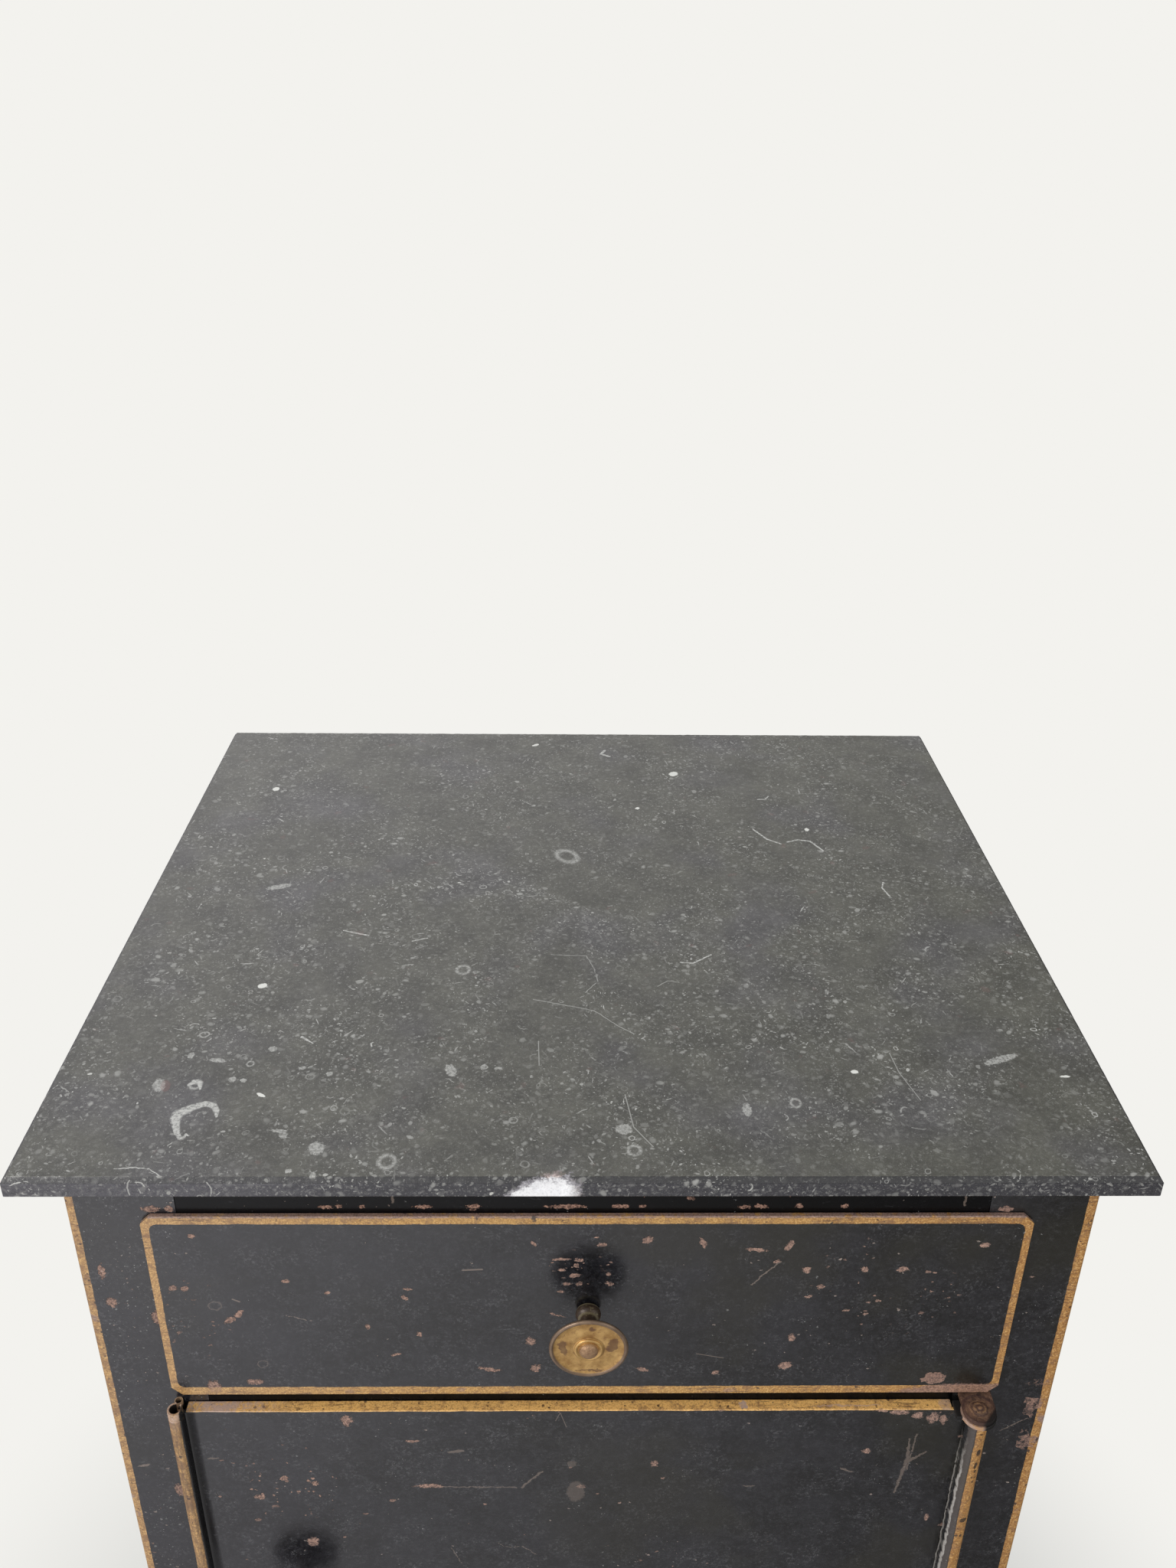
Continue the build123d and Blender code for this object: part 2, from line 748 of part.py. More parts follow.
# Body of the cabinet
save("stone_top", make_stone_top())
save("side_left", make_side(-1))
save("side_right", make_side(1))
save("back_panel", make_back_panel())
save("top_rail", make_rail(drawer_open_top, body_top, drawer_open_top + rail_tab_drop))
over_lug_z = upper_lug_z + lug_thick + lug_gap
save("mid_rail", make_rail(door_open_top, drawer_open_bottom, over_lug_z))
bottom_tab_z = door_open_bottom - rail_tab_drop - rail_tab_height
save("bottom_rail", make_rail(apron_height, door_open_bottom, bottom_tab_z))
save("drawer_deck", make_tray(deck_top))
save("compartment_floor", make_tray(floor_top))
save("drawer_runner_left", make_runner(-1))
save("drawer_runner_right", make_runner(1))
save("shelf_ledge_left", make_ledge(-1))
save("shelf_ledge_right", make_ledge(1))
save("inner_shelf", make_shelf())
save("top_gussets", make_gussets())
save("foot_braces", make_foot_braces())
save("foot_soles", make_foot_soles())
save("side_rivets", make_side_rivets())
save("back_rivets", make_back_rivets())
save("latch_keeper", make_latch_keeper())

# Hinge pieces that stay on the body
save("hinge_lug_upper", make_lug(upper_lug_z))
save("hinge_lug_lower", make_lug(lower_lug_z))
save("hinge_pin_upper", make_pin(upper_lug_z + lug_thick, 1))
save("hinge_pin_lower", make_pin(lower_lug_z, -1))
save("lug_rivets", make_lug_rivets())

# Door
door_middle = Plane.XY.offset((door_top + door_bottom) / 2)
save("door_panel", make_door_panel())
save("door_ear_upper", make_ear())
save("door_ear_lower", mirror(make_ear(), about=door_middle))
save("latch_bush", make_latch_bush())

# Latch, which turns in the door
save("door_knob", make_knob(latch_x, latch_z, door_face_y - latch_gap))
save("latch_spindle", make_latch_spindle())
save("latch_tongue", make_latch_tongue())
save("latch_nut", make_nut(latch_x, latch_z, tongue_y + tongue_thick))

# Drawer
save("drawer_front", make_drawer_front())
save("drawer_side_left", make_drawer_side(-1))
save("drawer_side_right", make_drawer_side(1))
save("drawer_bottom", make_drawer_bottom())
save("drawer_back", make_drawer_back())
save("drawer_rivets", make_drawer_rivets())
save("drawer_knob", make_knob(drawer_shift, knob_z, drawer_face_y))
save("drawer_knob_screw", make_drawer_screw())
save("drawer_knob_washer", make_drawer_washer())
save("drawer_knob_nut", make_nut(drawer_shift, knob_z, drawer_box_front + washer_thick))

print("hinge at", hinge_x, hinge_y - (front_most + back_most) / 2)
print("latch at", latch_x, latch_z)
print("whole depth", back_most - front_most)
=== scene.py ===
# %% [markdown]
# # A painted iron side cabinet with a fossil stone top
#
# The cabinet is folded from thin sheet iron, riveted, and painted nearly black with ochre lines.
# A slab of dark fossil stone lies on it. The measured model already holds every piece at its real
# size and place, so this lesson is about what makes the pieces look old: soft folds, a bruised
# stone edge, turned brass, rust, chips and worn paint. It goes from the frame to the camera and
# the light, then to the finishes, then to the pieces that are modelled again, and ends by giving
# each piece its finish.

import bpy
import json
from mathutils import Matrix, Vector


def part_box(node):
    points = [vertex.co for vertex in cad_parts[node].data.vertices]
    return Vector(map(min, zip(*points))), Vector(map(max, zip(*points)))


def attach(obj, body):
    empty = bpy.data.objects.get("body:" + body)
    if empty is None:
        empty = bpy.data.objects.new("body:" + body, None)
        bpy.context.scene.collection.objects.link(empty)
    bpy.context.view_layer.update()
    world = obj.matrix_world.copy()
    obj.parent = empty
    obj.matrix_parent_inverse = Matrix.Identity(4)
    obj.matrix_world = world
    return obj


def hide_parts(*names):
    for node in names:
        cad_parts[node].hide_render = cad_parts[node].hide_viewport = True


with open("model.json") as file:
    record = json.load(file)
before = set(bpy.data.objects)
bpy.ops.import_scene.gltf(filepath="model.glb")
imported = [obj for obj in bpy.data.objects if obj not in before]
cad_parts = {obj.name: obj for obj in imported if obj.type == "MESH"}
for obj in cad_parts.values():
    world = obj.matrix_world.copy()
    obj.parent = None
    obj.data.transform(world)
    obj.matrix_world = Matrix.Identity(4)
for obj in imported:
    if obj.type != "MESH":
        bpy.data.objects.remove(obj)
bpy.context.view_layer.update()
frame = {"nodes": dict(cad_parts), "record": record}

# %% Modules and units
import json
import math

import bpy
from mathutils import Matrix, Vector

MM = 0.001
nodes = frame["nodes"]


def box_mm(node):
    """Lowest and highest corner of a piece, in millimetres."""
    low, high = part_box(node)
    return low / MM, high / MM


# %% [markdown]
# ## The camera
#
# The photograph looks down on the slab from about chest height, a little from the left.
# Its place and angles were worked out from the slab's corners and the stiles, so they are set as
# three turns: round the upright axis, down towards the floor, and a small roll about the line of
# sight.

# %% Camera
camera_place = Vector((-0.00729, -0.543285, 1.19633))
camera_lens_mm = 30.585
camera_sensor_mm = 36.0
look_right = math.radians(1.0064)
look_down = math.radians(27.3045)
camera_roll = math.radians(0.6962)

bpy.ops.object.camera_add()
camera = bpy.context.object
camera.name = "camera"
camera.data.lens = camera_lens_mm
camera.data.sensor_width = camera_sensor_mm
turn = Matrix.Rotation(-look_right, 4, "Z")
tilt = Matrix.Rotation(math.radians(90) - look_down, 4, "X")
roll = Matrix.Rotation(camera_roll, 4, "Z")
camera.matrix_world = Matrix.Translation(camera_place) @ turn @ tilt @ roll
bpy.context.scene.camera = camera
print("camera at", tuple(camera.location))

# %% [markdown]
# ## Writing finishes as short recipes
#
# A finish is a tree of nodes. Written out node by node it gets long, so a small class, called r
# wherever it is used, gives each kind of node one short method. What a node gives back is an
# amount, which is added and multiplied like a number. Every pattern works in millimetres of the
# cabinet's own frame, because the pieces' objects all sit at the origin: a chip 2 mm wide is
# written as 2.

# %% Colours and amounts


def shade(*levels):
    """A colour read as three levels from 0 to 255, as the linear colour that a shader uses."""
    shares = [level / 255 for level in levels]
    linear = [s / 12.92 if s <= 0.04045 else ((s + 0.055) / 1.055) ** 2.4 for s in shares]
    return (*linear, 1.0)


class Amount:
    """What comes out of a node. It is added, subtracted, multiplied and divided like a number."""

    def __init__(self, recipe, socket):
        self.recipe = recipe
        self.socket = socket

    def __add__(self, other):
        return self.recipe.math("ADD", self, other)

    def __sub__(self, other):
        return self.recipe.math("SUBTRACT", self, other)

    def __rsub__(self, other):
        return self.recipe.math("SUBTRACT", other, self)

    def __mul__(self, other):
        return self.recipe.math("MULTIPLY", self, other)

    def __truediv__(self, other):
        return self.recipe.math("DIVIDE", self, other)

    def __pow__(self, other):
        return self.recipe.math("POWER", self, other)

    def __abs__(self):
        return self.recipe.math("ABSOLUTE", self)


# %% The recipe class


class Recipe:
    """A tree of nodes. Each method adds a node and gives back what comes out of it."""

    def __init__(self, name, kind="materials", place="Object"):
        self.finish = getattr(bpy.data, kind).new(name)
        self.finish.use_nodes = True
        self.tree = self.finish.node_tree
        self.tree.nodes.clear()
        scale = {"Vector": self.add("TexCoord", output=place), "Scale": 1 / MM}
        self.at = self.add("VectorMath", scale, operation="SCALE")
        self.x, self.y, self.z = self.split(self.at)

    def add(self, kind, inputs=(), output=0, **settings):
        """Add a node, and give back the output asked for, or a list of them."""
        node = self.tree.nodes.new("ShaderNode" + kind)
        for name, value in settings.items():
            setattr(node, name, value)
        for key, value in dict(inputs).items():
            if isinstance(value, Amount):
                self.tree.links.new(value.socket, node.inputs[key])
            else:
                node.inputs[key].default_value = value
        if isinstance(output, list):
            return [Amount(self, node.outputs[key]) for key in output]
        return Amount(self, node.outputs[output]) if node.outputs else None

    def math(self, operation, *values):
        return self.add("Math", enumerate(values), operation=operation)

    def most(self, *values):
        result = values[0]
        for value in values[1:]:
            result = self.math("MAXIMUM", result, value)
        return result

    def vector(self, operation, *values):
        output = "Value" if operation in ("LENGTH", "DOT_PRODUCT") else "Vector"
        return self.add("VectorMath", enumerate(values), output, operation=operation)

    def length(self, vector):
        return self.vector("LENGTH", vector)

    def stretch(self, vector, *factors):
        return self.vector("MULTIPLY", vector, factors)

    def turn(self, vector, angle):
        return self.add("VectorRotate", {"Vector": vector, "Angle": angle}, rotation_type="Z_AXIS")

    def join(self, x, y, z=0.0):
        return self.add("CombineXYZ", {"X": x, "Y": y, "Z": z})

    def split(self, vector):
        return self.add("SeparateXYZ", {"Vector": vector}, [0, 1, 2])

    def step(self, value, low, high):
        """Nought below low and one above high, with a soft change between; high may be the lower."""
        inputs = {"Value": value, "From Min": low, "From Max": high}
        return self.add("MapRange", inputs, interpolation_type="SMOOTHSTEP")

    def noise(self, place, size, detail=2.0, roughness=0.5):
        inputs = {"Vector": place, "Scale": 1 / size, "Detail": detail, "Roughness": roughness}
        return self.add("TexNoise", inputs)

    def tear(self, size, reach):
        """A fine noise about nought, which makes an edge ragged and leaves crumbs beside it."""
        return (self.noise(self.at, size, 4, 0.75) - 0.5) * (2 * reach)

    def wobble(self, place, size, reach):
        """The place, pushed about by up to reach, so that what is drawn there gets a ragged edge."""
        colour = self.add("TexNoise", {"Vector": place, "Scale": 1 / size, "Detail": 2.0}, 1)
        push = self.vector("SUBTRACT", colour, (0.5, 0.5, 0.5))
        return self.vector("ADD", place, self.stretch(push, *[2 * reach] * 3))

    def cells(self, place, size, dimensions="3D"):
        """Random cells: the share of a cell to its point, the point, and three chances of the cell."""
        inputs = {"Vector": place, "Scale": 1 / size}
        outputs = ["Distance", "Position", "Color"]
        away, point, colour = self.add("TexVoronoi", inputs, outputs, voronoi_dimensions=dimensions)
        return away, point, *self.add("SeparateColor", {"Color": colour}, [0, 1, 2])

    def mix(self, share, first, second, **settings):
        """A colour between two. A plain colour is written as its three levels."""
        first, second = [shade(*tone) if isinstance(tone, tuple) else tone for tone in (first, second)]
        return self.add("Mix", {0: share, 6: first, 7: second}, 2, data_type="RGBA", **settings)

    def coats(self, colour, *coats):
        """A colour under several coats, each a share and the coat's own colour."""
        for share, coat in coats:
            colour = self.mix(share, colour, coat)
        return colour

    def bump(self, height, depth, under=None):
        inputs = {"Height": height, "Distance": depth * MM}
        if under:
            inputs["Normal"] = under
        return self.add("Bump", inputs)

    def finish_with(self, **amounts):
        """Close the recipe with its shader. Underscores in the names stand for spaces."""
        shader = self.add("BsdfPrincipled", {name.replace("_", " "): amounts[name] for name in amounts})
        self.add("OutputMaterial", {"Surface": shader})
        return self.finish


# %% [markdown]
# ## Shapes that a recipe can draw
#
# Painted lines, old scratches and the fossils in the stone are drawn, not modelled. Three shapes do
# nearly all of it: a distance from a rounded rectangle, from an ellipse, and from a chain of short
# strokes. Everything is measured in a flat place, such as x and z on the front of the cabinet.

# %% Rectangles, ellipses and strokes
# Where a soft edge begins and ends, as shares of a patch's radius and of a stroke's width.
patch_edge = (1.05, 0.8)
stroke_edge = (0.65, 0.3)


def from_rectangle(across, up, low, high, corner):
    """Millimetres outside a rounded rectangle, below nought inside it."""
    r = across.recipe
    middle_x, middle_up = [(first + last) / 2 for first, last in zip(low, high)]
    half_x, half_up = [(last - first) / 2 - corner for first, last in zip(low, high)]
    folded = r.vector("ABSOLUTE", r.join(across - middle_x, up - middle_up))
    beyond = r.vector("SUBTRACT", folded, (half_x, half_up, 0))
    outside = r.length(r.vector("MAXIMUM", beyond, (0, 0, 0)))
    beyond_x, beyond_up, _ = r.split(beyond)
    return outside + r.math("MINIMUM", r.most(beyond_x, beyond_up), 0.0) - corner


def from_ellipse(place, x, up, half_x, half_up, turned=0.0):
    """Nought in the middle of an ellipse and one on its line."""
    r = place.recipe
    local = r.vector("SUBTRACT", place, (x, up, 0))
    if turned:
        local = r.turn(local, math.radians(-turned))
    return r.length(r.vector("DIVIDE", local, (half_x, half_up, 1)))


def patch(place, x, up, half_x, half_up, turned=0.0, tear=0.0):
    """A filled ellipse. A tear, which is a noise about nought, eats into it and leaves crumbs."""
    reach = from_ellipse(place, x, up, half_x, half_up, turned)
    return place.recipe.step(reach + tear, *patch_edge)


def patches(place, spots, tear=0.0):
    return place.recipe.most(*[patch(place, *spot, tear=tear) for spot in spots])


def strokes(place, width, *points):
    """A chain of straight strokes. A third number beside a point is the stroke's own width there."""
    r = place.recipe
    reaches = []
    for start, end in zip(points, points[1:]):
        along = Vector((end[0] - start[0], end[1] - start[1], 0))
        local = r.vector("SUBTRACT", place, (start[0], start[1], 0))
        share = r.vector("DOT_PRODUCT", local, tuple(along / along.length_squared))
        reached = r.math("MINIMUM", r.most(share, 0.0), 1.0)
        nearest = r.stretch(r.join(reached, reached, reached), *along)
        away = r.length(r.vector("SUBTRACT", local, nearest))
        first_width, last_width = [point[2] if len(point) > 2 else width for point in (start, end)]
        reaches.append(away / r.math("MULTIPLY_ADD", reached, last_width - first_width, first_width))
    shape = reaches[0]
    for reach in reaches[1:]:
        shape = r.math("MINIMUM", shape, reach)
    return r.step(shape, *stroke_edge)


def lines(place, *chains):
    """Several chains of strokes, each a width and its points."""
    return place.recipe.most(*[strokes(place, *chain) for chain in chains])


# %% [markdown]
# ## Fossil stone
#
# The slab is a dark limestone full of broken sea lilies and shells. Close up it shows pale grains
# by the thousand, rings and discs of stems, slivers of shell and a few hairline scratches. Each
# kind of fragment is one layer: the plane is cut into random cells, a share of the cells gets one
# fragment, and the cell's own random numbers give it a size, a turn and a strength. A few large
# fossils that anyone would recognise the slab by are placed one by one.

# %% A layer of fragments


def fragments(place, cell, length, width, share, kind="grain", soft=0.25):
    """How much of one kind of fragment lies at each place, from nought to one."""
    r = place.recipe
    _, point, turn_chance, size_chance, there_chance = r.cells(place, cell, "2D")
    turned = r.turn(r.vector("SUBTRACT", place, point), turn_chance * (2 * math.pi))
    squeezed = r.vector("DIVIDE", turned, (length, width, 1))
    reach = r.length(squeezed) / (size_chance * 0.7 + 0.45)
    shape = r.step(reach, 1.1, 1.1 - soft) if kind == "grain" else r.step(abs(reach - 0.8), 0.24, 0.06)
    if kind == "arc":
        shape = shape * r.step(r.split(squeezed)[1], 0.0, 0.25)
    strength = (there_chance / share) ** 3.0 * 0.8 + 0.2
    return shape * r.math("LESS_THAN", there_chance, share) * strength


# %% Where the stone has been struck
slab_low, slab_high = box_mm("stone_top")
chip_x = -11.5
chip_foot_x = -15.8
chip_half_width = 15.5
chip_rise = 13.2
print("bruise at x", chip_x, "mm, to", chip_half_width, "mm on each side")


def stone_bruise(r):
    """Nought outside the crushed mound in the front edge, growing to one in its heart."""
    rise = r.most(r.z - slab_low.z + (r.y - slab_low.y), 0.0)
    lean = (chip_x - chip_foot_x) / (slab_high.z - slab_low.z)
    across = (r.x - r.math("MULTIPLY_ADD", rise, lean, chip_foot_x)) / chip_half_width
    reach = across * across + (rise / chip_rise) ** 1.3
    crumbled = r.noise(r.at, 2.4, 5, 0.75) + r.noise(r.at, 0.7, 3, 0.7) * 0.4
    near_front = r.step(r.y, slab_low.y + 6.0, slab_low.y + 5.0)
    return r.step(reach + (crumbled - 0.7) * 1.1, 1.12, 0.3) * near_front


# %% Fossils and hairlines, placed one by one


def known_fossils(flat, tear):
    """The fossils that the slab is known by: soft grey ones, pale shells and white flecks."""
    r = flat.recipe
    known = r.wobble(flat, 1.3, 0.35)
    known_rings = [
        (-7.2, 46.6, 6.4, 8.8, 35), (-72.6, -173.6, 4, 4.6), (-53.3, -53.4, 3.9, 4.3),
        (18.1, -167.8, 3.3, 3.4), (81.9, -141.7, 2.6, 3.4), (-133.9, -118.4, 1.9, 2.1),
        (-96.4, -144.6, 1.6, 1.8), (-152.6, -131, 3, 3.4),
    ]
    from_lines = [abs(from_ellipse(known, *ring) - 0.72) + tear * 0.3 for ring in known_rings]
    known_discs = [
        (-99.4, -166.7, 3.2, 3.7, 25), (-166.8, -131.4, 2.6, 4.2, 15), (-53.3, -122.4, 2.3, 4.3, 20),
        (14.6, -156.4, 3.5, 3.1), (62.5, -145.5, 1.9, 3.9), (-147.4, -116.3, 3.6, 1.3, -8),
        (-40.1, -120.3, 1.6, 1.8), (-101.3, -124.5, 1.4, 1.4), (-112.6, -120.9, 1.6, 1.1),
        (-107.4, -178.4, 1.3, 1.3), (-115, -157.3, 3.3, 0.9), (169.6, -115.2, 8.7, 2, 22),
        (-148.4, 16.2, 6.8, 2.4, 20), (-158.8, -113.2, 1.4, 2), (-126.8, -109, 1.9, 1.7),
        (-113, -159.6, 1.6, 2.2, 30), (-98.4, -181, 1.2, 2.4), (-139, -128, 1.6, 1.8),
        (-134.5, -128.6, 1.4, 1.2),
    ]
    grey = r.most(*[r.step(away, 0.34, 0.0) for away in from_lines], patches(known, known_discs, tear))
    hook = [
        (-140.1, -149.6, 0.8), (-140.8, -146.2, 2.2), (-142.8, -143.2, 2.8), (-146.2, -142.2, 3),
        (-150.6, -144.4, 3.6), (-154.9, -147.8, 4.6), (-155.4, -150.4, 4), (-154.2, -154.5, 2.8),
        (-152.7, -158.6, 2.2), (-151, -161.3, 1.6), (-149.5, -160.6, 1.1), (-149.4, -159.2, 1),
        (-148, -160, 0.6),
    ]
    oyster = [(-155.2, -131.4, 1.4), (-153.6, -129.4, 2.6), (-151.2, -129.8, 2.4), (-150.2, -133.5, 0.9)]
    thin = [(-170.5, -177.3, 0.4), (-164, -176.6, 0.7), (-158, -177.2, 0.3), (-153.5, -180.5, 0.5)]
    pale = lines(
        known,
        (1, *hook),
        (1, *oyster),
        (1, *thin),
        (1, (91.8, 75.8), (97.9, 65), (104.5, 60.2)),
        (1, (108, 62), (114, 64.5), (120.3, 63), (125.6, 53.2)),
        (0.8, (150.3, 22), (148.6, 17), (150.8, 8.9)),
        (0.8, (44.1, -47.4), (49.8, -47.9), (58.4, -41.3)),
        (1.6, (17.5, 163), (12.6, 166.3), (15, 171)),
        (0.9, (-111, -22.2), (-99, -26.3)),
        (0.7, (-78.2, -30.8), (-71.5, -28.3)),
        (0.9, (98.5, 109.5), (103, 110), (105, 113.5)),
        (0.9, (-116.4, -101.2, 1.3), (-114, -103), (-111, -105.4, 0.4)),
        (0.6, (-86.8, -107.2), (-87.4, -105.4), (-86.6, -104.6)),
    )
    known_flecks = [
        (53.8, 140.5, 2.6, 3.2, -30), (-170.2, 119.8, 2, 2.4), (-139.8, -65.7, 2.4, 1.8, 30),
        (108.3, -123, 1.6, 1.2), (120.6, 75.5, 1.3, 1.8), (31.2, 98.7, 1.4, 1.2, 30),
        (-26.4, 178.1, 2.4, 1.2, 35), (192.4, -125.8, 2.2, 0.7), (-125.8, -137.2, 2.2, 0.9, -30),
    ]
    rosy = patch(known, -164.2, -131.8, 2.0, 3.8, 15)
    return grey, pale, patches(known, known_flecks, tear * 0.6), rosy


def hairlines(flat):
    """Thin scratches in the polish."""
    shaky = flat.recipe.wobble(flat, 3.0, 0.5)
    wandering = lines(
        shaky,
        (0.5, (-21.6, -75.1), (-4, -80.4), (4.6, -83.1), (13.5, -92.7), (21, -99)),
        (0.45, (-14.3, -41.6), (1.8, -42.5), (5.1, -52.4), (6.6, -62), (1, -70)),
        (0.45, (32.7, -65.7), (37.4, -61.5), (42.4, -62.5)),
        (0.6, (-164.5, -190), (-164.9, -186.5), (-163.8, -183)),
        (0.6, (-135.5, -190.5), (-134.7, -187), (-136, -184)),
    )
    straight = lines(
        flat,
        (0.45, (15.8, -136.9), (18.4, -155.3), (25.2, -165.9)),
        (0.4, (-18.7, -103.8), (-18.1, -119.2)),
        (0.4, (124.9, -111.2), (126.2, -123.5), (131, -140)),
    )
    return flat.recipe.most(wandering, straight)


# %% The stone's recipe


def stone_finish():
    """Polished above and sawn at the edges, with its fragments, its fossils and its bruise."""
    r = Recipe("fossil_stone")
    under = r.z - slab_high.z
    on_end = r.step(abs(r.x), slab_high.x - 2.0, slab_high.x - 1.9)
    flat = r.join(r.x + under * on_end, r.y + under * (1.0 - on_end))
    ragged = r.wobble(flat, 0.8, 0.3)
    torn = r.wobble(flat, 1.7, 0.6)
    tear = (r.noise(flat, 1.1, 3, 0.7) - 0.5) * 1.1

    sand = r.most(
        fragments(ragged, 0.95, 0.28, 0.18, 0.4) * 0.5,
        fragments(ragged, 1.8, 0.5, 0.24, 0.4),
        fragments(ragged, 3.7, 0.9, 0.4, 0.4) * 0.85,
    )
    soft_grains = r.most(
        fragments(torn, 2.6, 1.0, 0.65, 0.6, soft=0.7) * 0.9,
        fragments(torn, 5.4, 1.9, 1.3, 0.5, soft=0.7),
    )
    slivers = r.most(
        fragments(torn, 6.0, 1.5, 0.24, 0.3),
        fragments(torn, 12.0, 2.8, 0.3, 0.3),
    )
    stems = r.most(
        fragments(torn, 8.5, 1.15, 0.8, 0.35, soft=0.4) * 0.8,
        fragments(torn, 15, 2.0, 1.3, 0.3, soft=0.4) * 0.6,
        fragments(torn, 10.5, 1.4, 1.1, 0.26, "ring") * 0.9,
        fragments(torn, 24, 2.2, 2.0, 0.3, "ring") * 0.7,
        fragments(torn, 18, 2.3, 1.7, 0.35, "arc") * 0.9,
    )
    grey_fossils, pale_fossils, white_flecks, rosy = known_fossils(flat, tear)
    vein = patch(r.wobble(flat, 6, 2.5), 98.5, -141, 3.0, 34, -6) * fragments(ragged, 1.1, 0.4, 0.3, 0.8)

    lying = r.step(under, -1.1, -0.15)
    fading = r.step(r.noise(flat, 38, 4, 0.65), 0.36, 0.62) * 0.75 + 0.25
    sawn_face = r.step(under, -2.0, -2.8) * r.step(r.x, -190, -110)
    broken = r.step(r.noise(flat, 1.3, 4, 0.7), 0.34, 0.62) + 0.35
    drawn_there = lying * 0.75 + 0.25
    pale = r.most(
        sand * fading * 0.85,
        soft_grains * fading * 0.6,
        slivers * fading * 0.9,
        stems * fading,
        r.most(sand * 0.5, slivers, stems, soft_grains * 0.6) * sawn_face * 0.7,
        grey_fossils * broken * drawn_there * 0.56,
        pale_fossils * broken * drawn_there * 0.88,
        r.most(hairlines(flat), vein) * 0.5,
    )

    clouds = r.step(r.noise(flat, 22, 5, 0.65), 0.2, 0.8)
    freckles = r.noise(flat, 2.5, 6, 0.75)
    salt = r.noise(flat, 0.5, 2, 0.7)
    warm_stone = r.mix(clouds, (48, 47, 40), (92, 91, 81))
    cool_stone = r.mix(clouds, (50, 48, 51), (92, 90, 91))
    polished = r.mix(r.step(r.noise(flat, 58, 3), 0.46, 0.72), warm_stone, cool_stone)
    # Painted light: the sawn faces are lighter on the left, where the window's light falls.
    sawn = r.mix(r.step(r.x, -60, -150), (46, 45, 52), (72, 70, 77))
    deep = (1.0 - lying) * 0.1 + 0.36
    ragged_under = under + tear * 0.5
    band = r.step(ragged_under, -0.1, -0.4) * r.step(ragged_under, -2.5, -1.9)
    # Painted highlight: a faint pale line where the arris meets the sawn face, on the left part of the
    # front edge, where the window's light falls.
    highlight_along_edge = r.step(r.x, -20, -140) * r.step(r.noise(flat, 7, 4, 0.7), 0.4, 0.6)
    painted_edge_highlight = r.step(abs(ragged_under + 2.6), 0.4, 0.05) * highlight_along_edge
    flecks = r.most(white_flecks * lying, fragments(ragged, 30, 1.0, 0.6, 0.3) * 0.75)
    sound = r.coats(
        r.mix(lying, sawn, polished),
        (r.step(freckles, 0.5, 0.34) * deep, (20, 20, 21)),
        (r.step(freckles, 0.52, 0.68) * deep, (142, 141, 136)),
        (r.step(salt, 0.5, 0.32) * 0.3, (22, 22, 21)),
        (r.step(salt, 0.55, 0.75) * 0.35, (142, 141, 135)),
        (fragments(torn, 7.5, 1.2, 0.9, 0.3, soft=0.7) * 0.45, (38, 38, 37)),
        (band * 0.95, (20, 20, 25)),
        # The painted highlight along the front edge.
        (painted_edge_highlight * 0.25, (150, 148, 152)),
        (pale, (204, 203, 197)),
        (flecks, (238, 237, 229)),
        (r.most(r.step(r.noise(flat, 9, 2), 0.68, 0.76) * 0.2, rosy * 0.35), (128, 84, 80)),
    )

    bruise = stone_bruise(r)
    streaks = r.noise(r.wobble(r.join(r.x * 0.4, r.z + r.y), 2.0, 0.8), 1.3, 5, 0.75)
    heart = r.step(bruise + (streaks - 0.5) * 1.5, 0.32, 0.9)
    crushed = r.coats(
        r.mix(heart, (138, 134, 140), (250, 249, 251)),
        (r.step(r.noise(r.at, 0.8, 3, 0.7), 0.5, 0.34) * 0.35, (176, 174, 178)),
        (r.step(r.x, -7, -3) * r.step(streaks, 0.42, 0.58) * 0.5, (128, 116, 108)),
    )
    rust_place = r.wobble(r.join(r.x, r.z + r.y), 1.6, 1.2)
    rust_up = slab_high.z + slab_low.y + 2.6
    rust_spot = patch(rust_place, chip_x - 0.5, rust_up, 5.0, 2.0, tear=tear * 0.6)
    bruised = r.mix(r.step(bruise, 0.08, 0.4), sound, crushed)
    colour = r.mix(rust_spot * bruise * 0.6, bruised, (196, 146, 110))

    off_polish = r.most(bruise, 1.0 - lying, pale * 0.4)
    pits = salt * 0.4 + r.noise(r.at, 2.6, 4, 0.65)
    height = (1.0 - lying) * pits + lying * freckles * 0.06 + bruise * streaks * 1.3
    return r.finish_with(
        Base_Color=colour,
        Roughness=0.36 - r.noise(flat, 14, 4) * 0.14 + off_polish * 0.22,
        Normal=r.bump(height, 0.2),
        Specular_IOR_Level=0.95,
    )


stone = stone_finish()
print("stone recipe:", len(stone.node_tree.nodes), "nodes")

# %% [markdown]
# ## Old paint on iron
#
# The paint is nearly black with a cool grey bloom. It has been knocked through to pinkish iron in
# hundreds of places, from pin pricks to chips a few millimetres wide, and it carries thin scratches.
# The lines are ochre, brushed by hand, with dark spots and rubbed edges. One function makes all the
# painted finishes. What changes from piece to piece is handed in: where the ochre goes, where the
# paint has suffered most, which scratches are known, and where light or shade is painted.

# %% Chips and ochre


def chips(place, cell, least, most, share, tear=0.0):
    """Ragged holes in the paint, between two radii, in a share of the cells."""
    r = place.recipe
    away, _, size_chance, there_chance, _ = r.cells(place, cell)
    radius = size_chance ** 2.5 * (most - least) + least
    return r.step(away * cell / radius + tear, *patch_edge) * r.math("LESS_THAN", there_chance, share)


